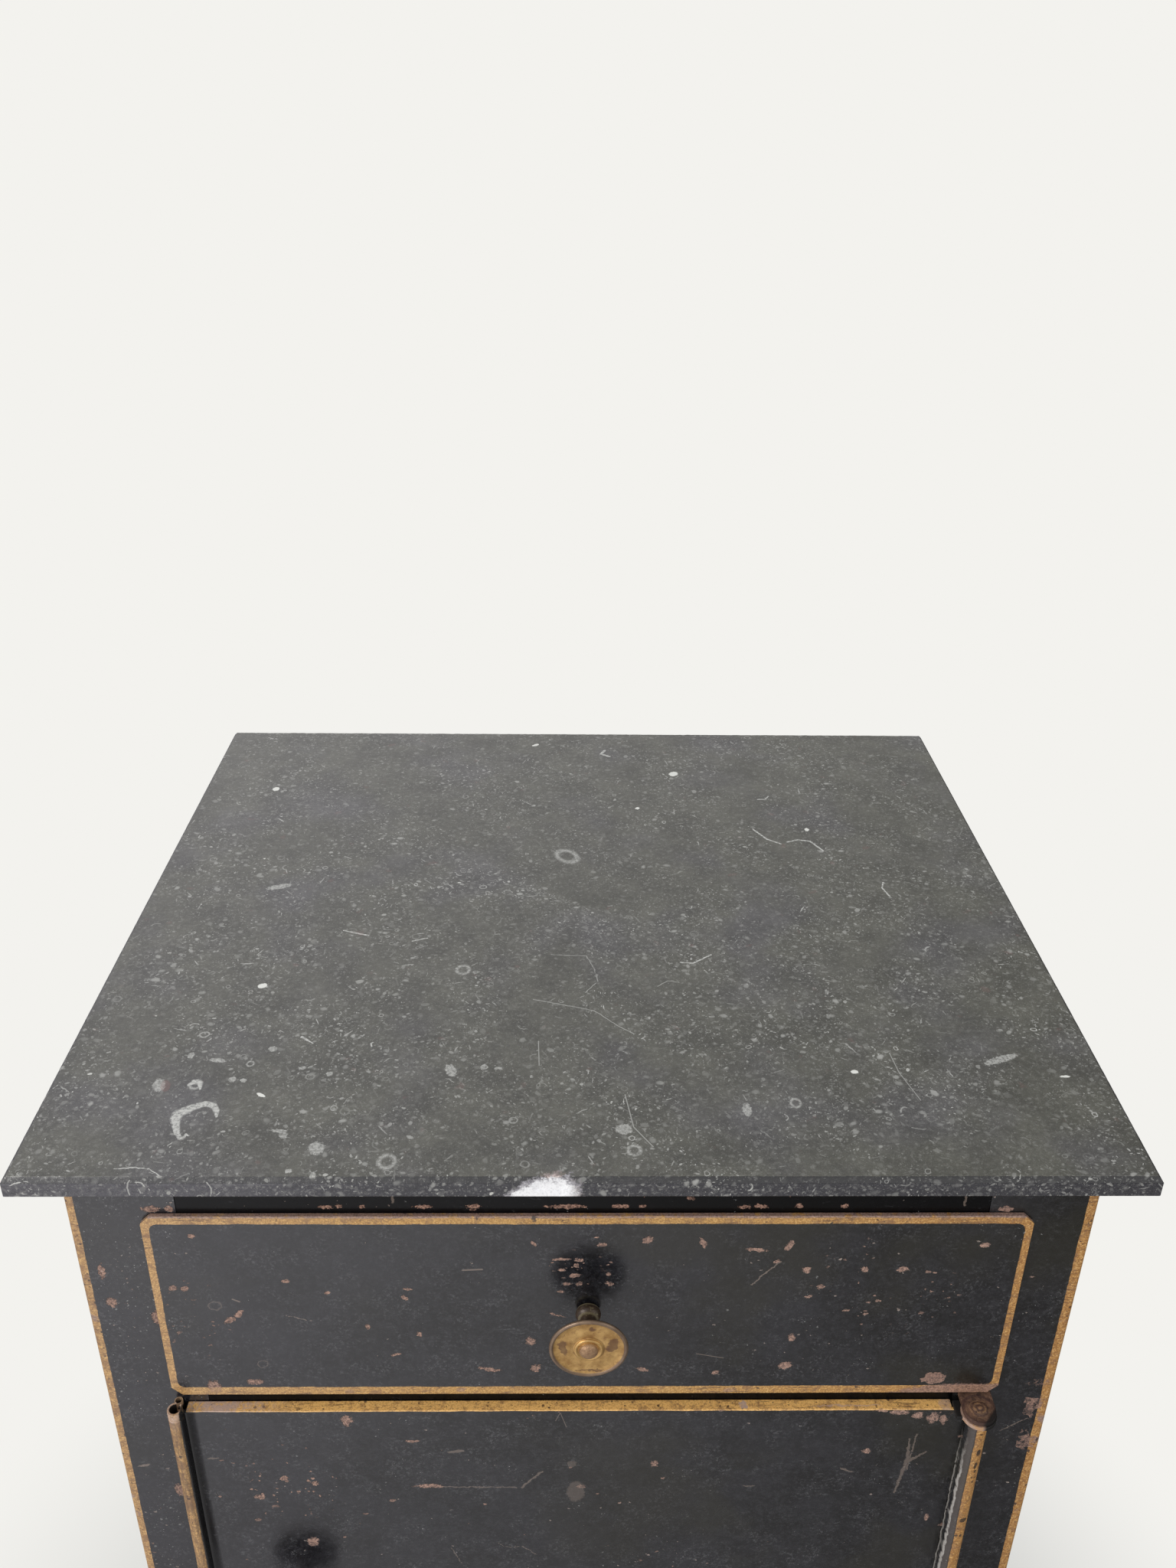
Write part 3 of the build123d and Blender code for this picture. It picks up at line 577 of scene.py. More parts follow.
def ochre_tone(r, faded, grimy, lit):
    """Ochre paint brushed by hand: streaky, spotted with dirt, rubbed to a purple brown, with painted light
    and shade.
    """
    fine = r.noise(r.at, 0.8, 5, 0.8)
    worn = r.noise(r.wobble(r.at, 4, 1.5), 5, 6, 0.8) + grimy * 0.1
    lengthwise = r.noise(r.stretch(r.wobble(r.at, 6, 0.5), 0.07, 1, 1), 0.9, 4, 0.7)
    scraped = r.step(lengthwise, 0.54, 0.64) * r.step(r.noise(r.at, 16, 3), 0.38, 0.56)
    spots = r.most(
        chips(r.wobble(r.at, 1.0, 0.35), 3.2, 0.25, 0.9, 0.5, r.tear(0.5, 0.7)),
        chips(r.wobble(r.at, 0.7, 0.25), 1.3, 0.12, 0.4, 0.5),
    )
    return r.coats(
        r.mix(r.noise(r.at, 9, 4, 0.65), (166, 116, 50), (212, 164, 86)),
        (faded * 0.5, (186, 148, 108)),
        # Painted shade: the ochre darkens to a deeper orange towards the right, away from the window's
        # light.
        (r.step(r.x, 20, 190) * 0.6, (162, 104, 42)),
        # Painted light: where lit is given, the ochre is lightened as for a face in full light.
        (lit * 0.9, (255, 200, 118)),
        (r.step(fine, 0.49, 0.6) * 0.5, (114, 74, 38)),
        (r.step(fine, 0.5, 0.38) * 0.55, (246, 204, 134)),
        (r.step(worn, 0.53, 0.66) * 0.6, r.mix(fine, (84, 58, 46), (150, 108, 78))),
        (scraped * 0.65, (84, 58, 44)),
        (spots * 0.85, (58, 40, 34)),
    )


# %% One recipe for all the painted iron
drawn_kinds = "ochre faded grimy streaked lit rubbed spots shaded wear bare scratches silver rust hollow"


def painted_iron(name, draw=None, gloss=0.95, **drawn):
    """Near-black paint. What is drawn says where ochre, wear, chips, rust and scratches go, and where light
    or shade is painted.
    """
    r = Recipe(name)
    if draw:
        drawn.update(draw(r))
    drawn = {**dict.fromkeys(drawn_kinds.split(), 0.0), **drawn}
    ochre = drawn["ochre"]
    torn = r.wobble(r.at, 2.2, 0.9)
    tear = r.tear(0.8, 1.1)

    region = r.step(r.noise(r.at, 46, 4, 0.65), 0.46, 0.66)
    share = (region + drawn["wear"]) * 0.13 + 0.035
    thick = share * r.step(r.noise(r.at, 11, 5, 0.75), 0.42, 0.62)
    dust = r.most(
        chips(r.wobble(r.at, 0.8, 0.25), 1.3, 0.08, 0.28, thick * 4.0),
        chips(r.wobble(r.at, 1.2, 0.5), 2.6, 0.15, 0.6, thick * 2.4, tear) * 0.6,
    )
    along = r.stretch(torn, 0.6, 1, 1)
    pricks = chips(along, 2.6, 0.13, 0.5, thick * 3.6, tear * 0.6)
    small = chips(along, 6.0, 0.4, 1.2, share * 0.8, tear)
    large = chips(torn, 16, 1.2, 3.0, share * 0.35, tear)
    bare = r.most(r.most(small, large) * 0.7, drawn["bare"])

    grit = r.noise(r.at, 0.7, 4, 0.75)
    mottle = r.noise(r.at, 3.5, 6, 0.75)
    film_dust = r.noise(r.at, 1.3, 3, 0.7)
    dusty_left = r.step(r.x, -90, -175) * 0.3 + 0.55
    clusters = r.step(r.noise(r.wobble(r.at, 9, 4), 13, 5, 0.7), 0.45, 0.64)
    film_share = dusty_left * (clusters * 0.8 + 0.2)
    speck_clouds = r.step(r.noise(r.at, 7, 5, 0.75), 0.5, 0.64)
    specks = chips(r.at, 0.9, 0.09, 0.28, 0.4) * speck_clouds * clusters
    towards_right = r.step(r.x, -60, 90) * 0.4 + 0.2
    colour = r.coats(
        r.mix(r.step(r.noise(r.at, 34, 5, 0.6), 0.32, 0.68), (6, 6, 8), (28, 28, 33)),
        (r.step(mottle, 0.42, 0.7) * 0.5, (50, 50, 55)),
        (r.step(film_dust, 0.48, 0.7) * film_share, (92, 92, 95)),
        (specks * 0.9, (160, 156, 154)),
        # Painted sheen: on the far left the paint is lightened to a blue-purple, as by the window's light.
        (r.step(r.x, -60, -190) * 0.3, (42, 40, 48)),
        (r.step(r.noise(r.at, 48, 3), 0.48, 0.7) * towards_right, (34, 32, 20)),
    )
    # Painted shade: where shaded is given, the paint is darkened to near black.
    if drawn["shaded"]:
        colour = r.mix(drawn["shaded"], colour, (5, 5, 6))
    if ochre:
        streaky = r.noise(r.stretch(r.at, 1, 1, 0.12), 1.1, 4, 0.7)
        rubbed_tone = r.mix(r.step(grit, 0.35, 0.65), (98, 78, 78), (178, 148, 136))
        # Painted light on the rubbed ochre where lit is given.
        rubbed_tone = r.mix(drawn["lit"] * 0.45, rubbed_tone, (238, 204, 178))
        tone = r.coats(
            ochre_tone(r, drawn["faded"], drawn["grimy"], drawn["lit"]),
            (r.step(streaky, 0.4, 0.62) * drawn["streaked"] * 0.55, (84, 62, 44)),
            (r.step(mottle, 0.32, 0.5) * drawn["rubbed"], rubbed_tone),
            # Dark spots, and on the door also the painted shade inside the bead's open tube.
            (drawn["spots"], (40, 34, 30)),
        )
        worn_through = r.step(r.noise(r.at, 6, 6, 0.75), 0.63, 0.67)
        colour = r.mix(ochre * (1.0 - worn_through * 0.85), colour, tone)
        bare = bare * (1.0 - ochre * 0.45)
    film = 1.0 - ochre * 0.7

    faint = r.step(grit, 0.4, 0.62) * 0.5 + 0.25
    smear = r.noise(r.stretch(r.wobble(r.at, 9, 3), 0.16, 1, 1), 1.1, 3)
    smears = r.step(smear, 0.62, 0.76) * r.step(r.noise(r.at, 25, 3), 0.5, 0.7)
    rust_there = r.step(r.noise(torn, 2.2, 5, 0.75) * 1.1 + drawn["rust"], 1.0, 1.25)
    colour = r.coats(
        colour,
        (bare * 0.88, r.mix(r.step(grit, 0.36, 0.64), (70, 48, 42), (190, 150, 131))),
        (pricks * film * faint, (176, 158, 148)),
        (dust * film * 0.65, (160, 160, 158)),
        (smears * film * 0.3, (112, 114, 118)),
        # Scratches, and on the door's roll also a painted sheen.
        (drawn["scratches"], (138, 122, 112)),
        (drawn["silver"], (172, 167, 162)),
        (rust_there * 0.85, r.mix(r.step(grit, 0.3, 0.7), (66, 46, 42), (180, 138, 118))),
    )

    damage = r.most(bare, pricks * 0.8, rust_there, ochre * 0.35)
    dents = r.bump(r.noise(r.at, 44, 2) * 0.3 + drawn["hollow"], 1.0)
    return r.finish_with(
        Base_Color=colour,
        Roughness=mottle * 0.12 + 0.2 + damage * 0.4,
        Normal=r.bump(mottle * 0.4 + film_dust * 0.25 - damage, 0.08, dents),
        Specular_IOR_Level=gloss,
    )


# %% [markdown]
# The ochre lines follow the pieces' own edges, so their places come from the frame. On the drawer
# front the line runs round the rim, a little wider above and below than at the sides, with its inner
# corners rounded. On the door the whole top fold, the left bead and the right half of the right roll
# are ochre. The sides, which the photograph doesn't show, get a plain ruled frame of the usual kind.

# %% Where the paint goes on the drawer front
drawer_low, drawer_high = box_mm("drawer_front")
rim_line_side = 3.1
rim_line_top = 3.9
rim_line_bottom = 4.4
print("drawer front in mm:", tuple(drawer_low), tuple(drawer_high))


def front_places(r, reach=1.0):
    """The plane of the front, the same plane torn for chips, and the tear of their edges."""
    front = r.join(r.x, r.z)
    torn = r.wobble(r.wobble(front, 2.4, reach), 0.8, 0.35)
    return front, torn, r.tear(1.9, 0.9) + r.tear(0.6, 0.5)


def draw_drawer(r):
    low = (drawer_low.x + rim_line_side, drawer_low.z + rim_line_bottom)
    high = (drawer_high.x - rim_line_side, drawer_high.z - rim_line_top)
    brush_x, _, brush_z = r.split(r.wobble(r.wobble(r.at, 14, 0.5), 1.6, 0.22))
    beyond = from_rectangle(brush_x, brush_z, low, high, 3.4)
    top_edge = r.step(brush_z, drawer_high.z - 1.1, drawer_high.z - 0.6)
    front, torn, tear = front_places(r)
    chipped = [
        (-139.8, 764.6, 2.8, 1.5, 25), (-136.2, 767.8, 2.6, 1.3, 60), (-37.6, 735.6, 4.6, 1, -10),
        (-68.9, 781.1, 1.9, 0.7), (-70.4, 776.8, 1.6, 0.8, -50), (-75.1, 744.4, 2.2, 0.8, 10),
        (-116, 785.7, 1.6, 1), (-100.4, 779.5, 1.2, 0.9), (-85.7, 760.4, 1, 1.5),
        (-65.4, 756.1, 1, 1.4, 20), (-155.5, 781.8, 1.8, 1.1, 20), (-160, 782.2, 1.6, 1.4, 50),
        (-149.5, 809.5, 1.3, 1.2), (-19.4, 805.5, 1, 1.8, 30), (82.4, 737.6, 2.6, 2.3, 20),
        (78.9, 804.4, 1.4, 3.2, -25), (45.6, 805.8, 1.1, 2.8, 20), (24.2, 807.4, 2.4, 1.6, 40),
        (24.4, 735.4, 2.4, 1, -15), (54.2, 733.2, 1.6, 1.1), (109.6, 791.4, 1.7, 1.3),
        (124, 791.6, 2.6, 1.4, 10), (86.9, 791.4, 2, 1.7, -30), (93.2, 782.4, 1.7, 1.2, 20),
        (83.8, 753.6, 1.4, 2.1, 20), (104.4, 769.3, 1.6, 0.9, 15), (154.6, 804.4, 2, 1.4),
        (66.4, 802.2, 4.6, 1.1, -8), (88.5, 776.8, 1.5, 0.9), (74.6, 795.8, 1.8, 0.9, 30),
        (-150.4, 725.4, 3, 4.2, 10), (-133.5, 728.6, 3.4, 1.6), (-95.8, 722.6, 2.4, 1.4),
        (-50.2, 723.6, 2.2, 1.4), (-8.5, 797.3, 3.4, 0.8), (-2, 797, 1.7, 1), (-3.5, 788.7, 2.3, 1.1),
        (-2.9, 793.9, 1.2, 1.2), (-8.7, 791.7, 1.3, 0.9), (-6.6, 784.1, 2, 0.8), (-1.9, 784.1, 1.3, 0.9),
        (9.6, 789.4, 1.1, 1), (9.9, 784, 1.5, 1.3), (6.5, 804.9, 1.7, 1), (4.4, 808.8, 1, 0.7),
        (-9.2, 780, 1.5, 0.9), (-10.8, 766.9, 3.6, 0.5, -20), (-21, 752, 1.8, 2.2, 20),
        (-19.2, 736, 2, 2.2, -30), (60.4, 722.8, 3, 1.2),
    ]
    near_knob = patch(r.wobble(front, 5, 3), -1, 794, 15, 14)
    right_cloud = patch(r.wobble(front, 14, 8), 116, 783, 36, 24, -20)
    left_cloud = patch(r.wobble(front, 12, 7), -153, 764, 14, 26)
    laid = r.stretch(r.wobble(r.at, 1.0, 0.4), 0.55, 1, 1)
    crumbs = chips(laid, 2.0, 0.25, 0.9, 0.75, tear)
    sparks = chips(laid, 1.2, 0.14, 0.45, 0.6)
    in_rows = r.step(r.noise(r.stretch(r.at, 0.4, 1, 1), 4.5, 3), 0.42, 0.52)
    scattered = r.most(
        near_knob * r.most(crumbs, sparks) * in_rows,
        right_cloud * crumbs * 0.8,
        left_cloud * r.most(crumbs * 0.65, sparks * 0.7),
    )
    drops = [(-145, 772.5, 3, 2.8), (-129.4, 739, 2.4, 2.3)]
    dried = r.most(*[r.step(abs(from_ellipse(torn, *drop) - 0.85), 0.16, 0.04) for drop in drops])
    scratched = r.most(
        lines(torn, (0.7, (65.7, 783.3), (69.5, 788.5), (76, 795.9)), (0.5, (-118, 767), (-108, 764))),
        lines(front, (0.7, (-137.6, 776), (-135, 774.6)), (0.8, (-47, 791.6), (-39.5, 792))),
        strokes(front, 0.35, (46, 744.5), (57, 742)),
        dried * 0.45,
    )
    corner = r.x + (drawer_low.z + 3 - r.z) * 3.0
    rusty = r.most(
        r.step(corner, 118, 150) * r.step(r.z, drawer_low.z + 8, drawer_low.z + 3),
        patch(r.wobble(front, 4, 2), 144.2, 729.5, 6, 4) * 0.85,
    )
    return {
        "ochre": r.step(beyond, -0.15, 0.15),
        "faded": r.step(r.x, -60, -165),
        "grimy": 0.35,
        "wear": r.step(r.x, 10, 120) * 0.9 + r.step(r.x, -138, -165) * 1.4,
        "bare": r.most(patches(torn, chipped, tear), scattered),
        "scratches": scratched * 0.6,
        "rust": rusty * 0.95,
        "rubbed": r.most(top_edge, r.step(r.y, drawer_low.y + 0.2, drawer_low.y + 0.9)) * 0.9,
    }


# %% Where the paint goes on the door
door_low, door_high = box_mm("door_panel")
joints = {joint["name"]: joint for joint in frame["record"]["behaviour"]["joints"]}
hinge_pin = Vector(joints["door_hinge"]["pos_m"]) / MM
door_sheet = 1.0
roll_radius = 4.35
bead_radius = 3.15
bead_rise = 4.3
fold_top = door_high.z - bead_rise
face_y = hinge_pin.y + roll_radius - door_sheet
bead_middle = Vector((door_low.x + bead_radius, face_y + door_sheet - bead_radius))
print("hinge pin in mm:", tuple(hinge_pin), "bead:", tuple(bead_middle))


def draw_door(r):
    brush_x, _, brush_z = r.split(r.wobble(r.wobble(r.at, 14, 0.4), 1.6, 0.2))
    bead = r.step(brush_x, bead_middle.x + 2.3, bead_middle.x + 1.7)
    from_roll = brush_x - hinge_pin.x
    on_roll = r.step(from_roll, -1.4, -1.0) * r.step(from_roll, 4.6, 4.3)
    upper_end = r.step(brush_z, fold_top - 0.7, fold_top - 0.4)
    ends = r.most(upper_end, r.step(r.z, door_low.z + 0.7, door_low.z + 0.4))
    on_fold = r.step(r.x, bead_middle.x + 3.4, bead_middle.x + 3.6) * r.step(r.x, 156, 155)
    front, torn, tear = front_places(r, 0.9)
    below_pin = [
        (1.6, 17.5, 1, 2.2), (1.4, 25.5, 0.8, 2.4), (1.7, 29.5, 0.5, 1), (0.9, 33, 0.6, 0.6),
        (2.2, 33.5, 0.5, 0.6), (1.5, 36, 0.5, 0.8), (1.2, 61.5, 1.8, 1.6), (1.6, 72, 0.7, 1),
    ]
    roll_spots = [(hinge_pin.x + across, fold_top - drop, *half) for across, drop, *half in below_pin]
    scuffed = r.most(
        lines(
            torn,
            (0.7, (-60, 666), (-27.9, 665.4)),
            (1, (-25.6, 665.4), (-16.8, 675.9)),
            (1, (135.3, 660.9, 0.9), (137.4, 675, 1.9), (138.5, 684, 1.6), (137.9, 696, 0.6)),
            (0.8, (139, 676), (140.5, 699)),
            (1, (138.5, 681, 1.8), (145.7, 687.7, 0.8)),
            (0.5, (-57, 624), (-53, 613)),
            (0.5, (-37, 627.5), (-31.5, 624), (-26, 625.5), (-19.5, 619)),
        ),
        lines(front, (0.35, (-9.1, 713), (-11, 708)), (0.35, (-9.1, 713), (-6.5, 704))),
        patches(torn, [(-155, 685, 2.8, 0.6, 8), (-53.1, 688.8, 4, 0.9, 8)]),
        patches(torn, [(113, 676, 3.2, 0.6, -25), (72, 665.8, 2.8, 0.4)]),
    )
    smudges = patches(r.wobble(front, 2, 1.2), [(-2.4, 662.5, 4.2, 7.4), (-4, 680.7, 2.2, 2.4)])
    chipped = [
        (-65, 666.4, 6.4, 1.2), (-126.6, 672.2, 2, 1.5), (-113.8, 668.6, 1.6, 1.6), (-70.6, 695.3, 3, 1),
        (120.3, 688.2, 1.8, 1.4), (31.1, 680.5, 1.8, 2.2), (-138, 659.6, 2.4, 1.6),
        (-97.4, 708.4, 2.6, 3.4), (151.6, 644, 0.9, 2.6), (-118, 629, 2.6, 3.2), (124, 713.6, 3, 0.9),
        (132, 712.6, 4, 1.6), (139.5, 710.6, 2.6, 2.2), (146, 709.4, 2.6, 3.4), (150.6, 708.2, 1.6, 3),
    ]
    left_cloud = patch(r.wobble(front, 12, 7), -126, 664, 26, 22, -25)
    crumbs = chips(r.wobble(r.at, 1.0, 0.4), 2.2, 0.3, 0.95, 0.75, tear)
    ragged = r.wobble(r.join(r.x, r.y), 2.5, 1.2)
    left_end = patch(ragged, -149.5, -171, 8, 6)
    speckled = r.step(r.x, -112, -148) * r.step(r.noise(r.at, 1.1, 4, 0.75), 0.42, 0.56)
    fold_dirt = r.most(
        patch(ragged, 66.7, -171, 2.0, 2.2),
        patch(ragged, 110, -171.6, 16, 0.5) * 0.7,
        patch(ragged, 151, -171, 3, 4) * 0.6,
    )
    hole = r.length(r.join(r.x - bead_middle.x, r.y - bead_middle.y))
    # Painted shade inside the open top of the bead's tube.
    painted_shade_in_tube = r.step(hole, 2.45, 2.2) * r.step(r.z, fold_top - 40, fold_top - 20)
    bead_top = bead * r.step(r.z, fold_top - 9, fold_top + 3)
    groove = r.step(from_roll, -1.3, -1.7) * r.step(from_roll, -4.2, -3.9)
    # Painted sheen: a grey band on the front of the roll, for its reflection.
    painted_roll_sheen = groove * r.step(r.y, face_y - 1.5, face_y - 2.0)
    raw_x, _, raw_z = r.split(r.wobble(r.at, 5, 0.7))
    raw_line = r.step(abs(raw_x - (hinge_pin.x - 3.8)), 0.45, 0.15)
    raw_stretches = r.step(raw_z, 708, 675) * r.step(r.noise(r.at, 3, 4, 0.7), 0.3, 0.46)
    outer_face = r.step(r.y, face_y + 0.8, face_y + 0.4)
    scuffs_smudges_and_roll_sheen = r.most(scuffed * 0.45, smudges * 0.26, painted_roll_sheen * 0.2)
    under_hinge = r.step(r.x, 140, 153) * r.step(r.z, fold_top - 7, fold_top - 1)
    from_bead = r.x - bead_middle.x
    cove = r.step(from_bead, 7.5, 2.5) * r.step(from_bead, 2.0, 2.4)
    return {
        "ochre": r.most(bead, on_roll, ends * on_fold),
        "faded": r.most(bead * 0.8, r.step(r.x, -120, -160) * 0.8),
        "streaked": bead,
        "grimy": bead * 0.8 + on_roll * 0.3 + ends * 0.5,
        # Painted light: the ochre on the folded top and bottom ends is made lighter, as for a face in full
        # light.
        "lit": ends,
        "wear": r.step(r.x, 40, -120) * 0.5,
        "bare": outer_face * r.most(patches(torn, chipped, tear), r.most(left_cloud, under_hinge) * crumbs),
        # Scuffs and smudges, and the painted sheen on the roll.
        "scratches": outer_face * scuffs_smudges_and_roll_sheen,
        "silver": raw_line * raw_stretches,
        "rust": r.most(under_hinge * 0.5, bead_top * 0.35),
        "rubbed": r.most(r.most(left_end, speckled, fold_dirt) * ends, bead_top * 0.55),
        # Spots on the roll, and painted shade inside the bead's tube.
        "spots": r.most(patches(r.wobble(front, 1.5, 0.5), roll_spots) * 0.85, painted_shade_in_tube),
        # Painted shade: the cove beside the bead, where the bead shades the panel, is darkened.
        "shaded": cove * 0.9,
        "hollow": cove * r.step(r.z, fold_top, fold_top - 1) * 2.6,
    }


# %% Where the paint goes on the sides and the rails
side_low, side_high = box_mm("side_right")
left_low = box_mm("side_left")[0]
apron_height = 96.0
stripe_left = 3.7
stripe_right = 4.5
side_frame_inset = 24.0
side_frame_line = 3.2
print("side sheet in mm:", tuple(side_low), tuple(side_high))


def draw_sides(r):
    brush_x, brush_y, brush_z = r.split(r.wobble(r.wobble(r.at, 14, 0.5), 1.6, 0.22))
    right = r.step(brush_x, side_high.x - stripe_right - 0.15, side_high.x - stripe_right + 0.15)
    left = r.step(brush_x, left_low.x + stripe_left + 0.15, left_low.x + stripe_left - 0.15)
    on_front = r.step(r.y, side_low.y + 2.2, side_low.y + 1.6)
    frame_low = (side_low.y + side_frame_inset, apron_height + side_frame_inset)
    frame_high = (side_high.y - side_frame_inset, side_high.z - side_frame_inset)
    ruled = abs(from_rectangle(brush_y, brush_z, frame_low, frame_high, 5.0))
    on_cheek = r.step(abs(r.x), side_high.x - 0.8, side_high.x - 0.4)
    side_frame = r.step(ruled, side_frame_line / 2 + 0.2, side_frame_line / 2 - 0.2) * on_cheek
    front, torn, tear = front_places(r, 0.9)
    rust_place = r.wobble(front, 5, 3)
    rusty_corner = r.most(
        patches(rust_place, [(189, 711, 5, 9), (189.5, 688, 5, 7.5)]),
        patch(rust_place, 189, 724, 6, 3) * 0.8,
    )
    scratched = r.most(strokes(torn, 0.6, (178, 694), (188, 702)), patch(torn, -187.2, 673.8, 3.0, 0.8, 15))
    chipped = [
        (-164, 821.4, 3.6, 1.4), (-157, 821.6, 1.6, 1.4), (160.6, 821.2, 2.8, 1.5), (-169.4, 763.5, 2, 4),
        (-186, 772, 2.2, 2.6), (-187.4, 789, 1.4, 4), (-173.6, 657.5, 2.6, 4),
    ]
    left_cloud = patch(r.wobble(front, 14, 8), -181, 770, 11, 46)
    sparks = chips(r.wobble(r.at, 0.8, 0.3), 1.3, 0.12, 0.45, 0.5)
    return {
        "ochre": r.most(r.most(right, left) * on_front, side_frame),
        "faded": r.step(r.x, -150, -170),
        "grimy": r.step(r.x, -150, -170) * 0.6 + 0.15,
        "wear": r.step(r.x, -100, -160) * 3.2 + 0.1,
        "bare": r.most(patches(torn, chipped, tear), left_cloud * sparks * 0.5),
        "scratches": scratched * 0.6,
        "rust": rusty_corner * r.step(r.y, side_low.y + 3, side_low.y + 1) * 0.62,
        "rubbed": r.step(r.noise(r.at, 12, 4), 0.6, 0.68) * 0.8,
    }


def draw_top_rail(r):
    _, torn, tear = front_places(r)
    chipped = [
        (-61.5, 4), (-42.2, 2.6), (-7.6, 7.4), (-98, 2.8), (-93, 1.2), (-84.4, 1.2), (13.6, 3),
        (22, 1.6), (61.2, 2.4), (67, 3), (81.3, 1.6), (160.6, 2.6), (99, 1.3),
    ]
    drips = lines(
        torn,
        (1.1, (-72.8, 834), (-72.4, 825)),
        (1.2, (-48, 835), (-45.4, 830)),
        (0.9, (-134, 838), (-133.6, 832)),
        (1, (144.4, 831), (144.6, 823)),
    )
    return {
        "bare": patches(torn, [(x, 822.6, half, 1.1) for x, half in chipped], tear),
        "wear": 0.1,
        "scratches": drips * 0.5,
        # Painted shade: the rail's lower part, under the slab's overhang, is darkened.
        "shaded": r.step(r.z, 834, 829) * 0.92,
    }


# %% Make the painted finishes
drawer_paint = painted_iron("drawer_paint", draw_drawer)
door_paint = painted_iron("door_paint", draw_door)
side_paint = painted_iron("side_paint", draw_sides)
top_rail_paint = painted_iron("top_rail_paint", draw_top_rail, 0.2)
# Painted shade: the mid rail, in the gap between drawer and door, is darkened nearly to black and given
# little gloss.
mid_rail_paint = painted_iron("mid_rail_paint", gloss=0.1, shaded=0.9)
plain_paint = painted_iron("plain_paint")
print("door paint:", len(door_paint.node_tree.nodes), "nodes")

# %% [markdown]
# ## Inside paint, rust, bare iron and brass
#
# Inside, the sheet has a thin dull undercoat with rust coming through. The hinge pieces carry no
# paint at all and have gone brown. The latch is bare, handled iron. The knobs are turned brass under
# old lacquer: yellow on the face, nearly black behind, with a dark rim that catches the light.

# %% Inside paint, rust and bare iron


def inside_finish():
    """A thin dull undercoat with rust coming through."""
    r = Recipe("inside_paint")
    rust = r.step(r.noise(r.wobble(r.at, 9, 4), 16, 5, 0.65), 0.56, 0.68)
    colour = r.coats(
        r.mix(r.noise(r.at, 40, 5, 0.6), (64, 62, 56), (98, 94, 84)),
        (rust * 0.7, (104, 68, 46)),
        (chips(r.wobble(r.at, 2, 0.8), 6, 0.3, 1.3, 0.3), (54, 40, 33)),
    )
    grain = r.noise(r.at, 1.2, 4, 0.7)
    return r.finish_with(Base_Color=colour, Roughness=rust * 0.25 + 0.55, Normal=r.bump(grain, 0.08))


def rust_finish():
    """Brown iron. Under the lug's curl, round the pin, it is scraped in rings and partly in shadow."""
    r = Recipe("rusted_iron")
    broad = r.noise(r.at, 4, 5, 0.7)
    fine = r.noise(r.at, 0.8, 4, 0.75)
    local = r.join(r.x - hinge_pin.x, r.y - hinge_pin.y)
    around = r.length(r.wobble(local, 2.4, 0.8))
    rings = r.math("SINE", around * 3.4)
    near_pin = r.step(around, 4.6, 3.4) * r.step(r.noise(r.at, 2.0, 4, 0.7), 0.36, 0.56)
    rim = r.step(around, 5.4, 6.3) * r.step(around, 7.4, 6.9)
    across, deep, _ = r.split(local)
    towards_corner = across * 0.75 + deep * -0.66
    on_lug = r.step(around, 12, 11)
    colour = r.coats(
        r.mix(r.step(broad, 0.3, 0.7), (66, 46, 38), (126, 94, 74)),
        (r.step(fine, 0.5, 0.72) * 0.6, (162, 128, 104)),
        (r.step(r.noise(r.at, 2.8, 3), 0.58, 0.68) * 0.6, (38, 28, 27)),
        (near_pin * r.step(rings, 0.3, 1.0) * 0.6, (178, 138, 92)),
        (near_pin * r.step(rings, -0.4, -1.0) * 0.7, (48, 30, 28)),
        (rim * 0.5, (60, 38, 40)),
        # Painted shade: the lug darkens towards its far corner, and a painted black shadow runs along that
        # edge.
        (r.step(towards_corner, -1.0, 5.0) * on_lug * 0.45, (52, 36, 30)),
        (r.step(towards_corner, 4.2, 5.2) * on_lug * 0.9, (12, 11, 12)),
    )
    return r.finish_with(
        Base_Color=colour,
        Roughness=fine * 0.25 + 0.55,
        Metallic=0.2,
        Normal=r.bump(broad + fine * 0.35 + near_pin * rings * 0.4, 0.3),
    )


def bare_finish():
    """Handled iron, drawn out lengthwise, with a little rust."""
    r = Recipe("bare_iron")
    rust = r.step(r.noise(r.at, 4, 5, 0.7), 0.56, 0.68)
    handled = r.mix(r.noise(r.at, 7, 4, 0.6), (84, 80, 77), (142, 137, 131))
    return r.finish_with(
        Base_Color=r.mix(rust * 0.75, handled, (112, 76, 54)),
        Roughness=rust * 0.35 + 0.36,
        Metallic=0.85,
        Normal=r.bump(r.noise(r.stretch(r.at, 1, 1, 8), 1.5, 3), 0.05),
    )


# %% Brass, and the collar under the hinge


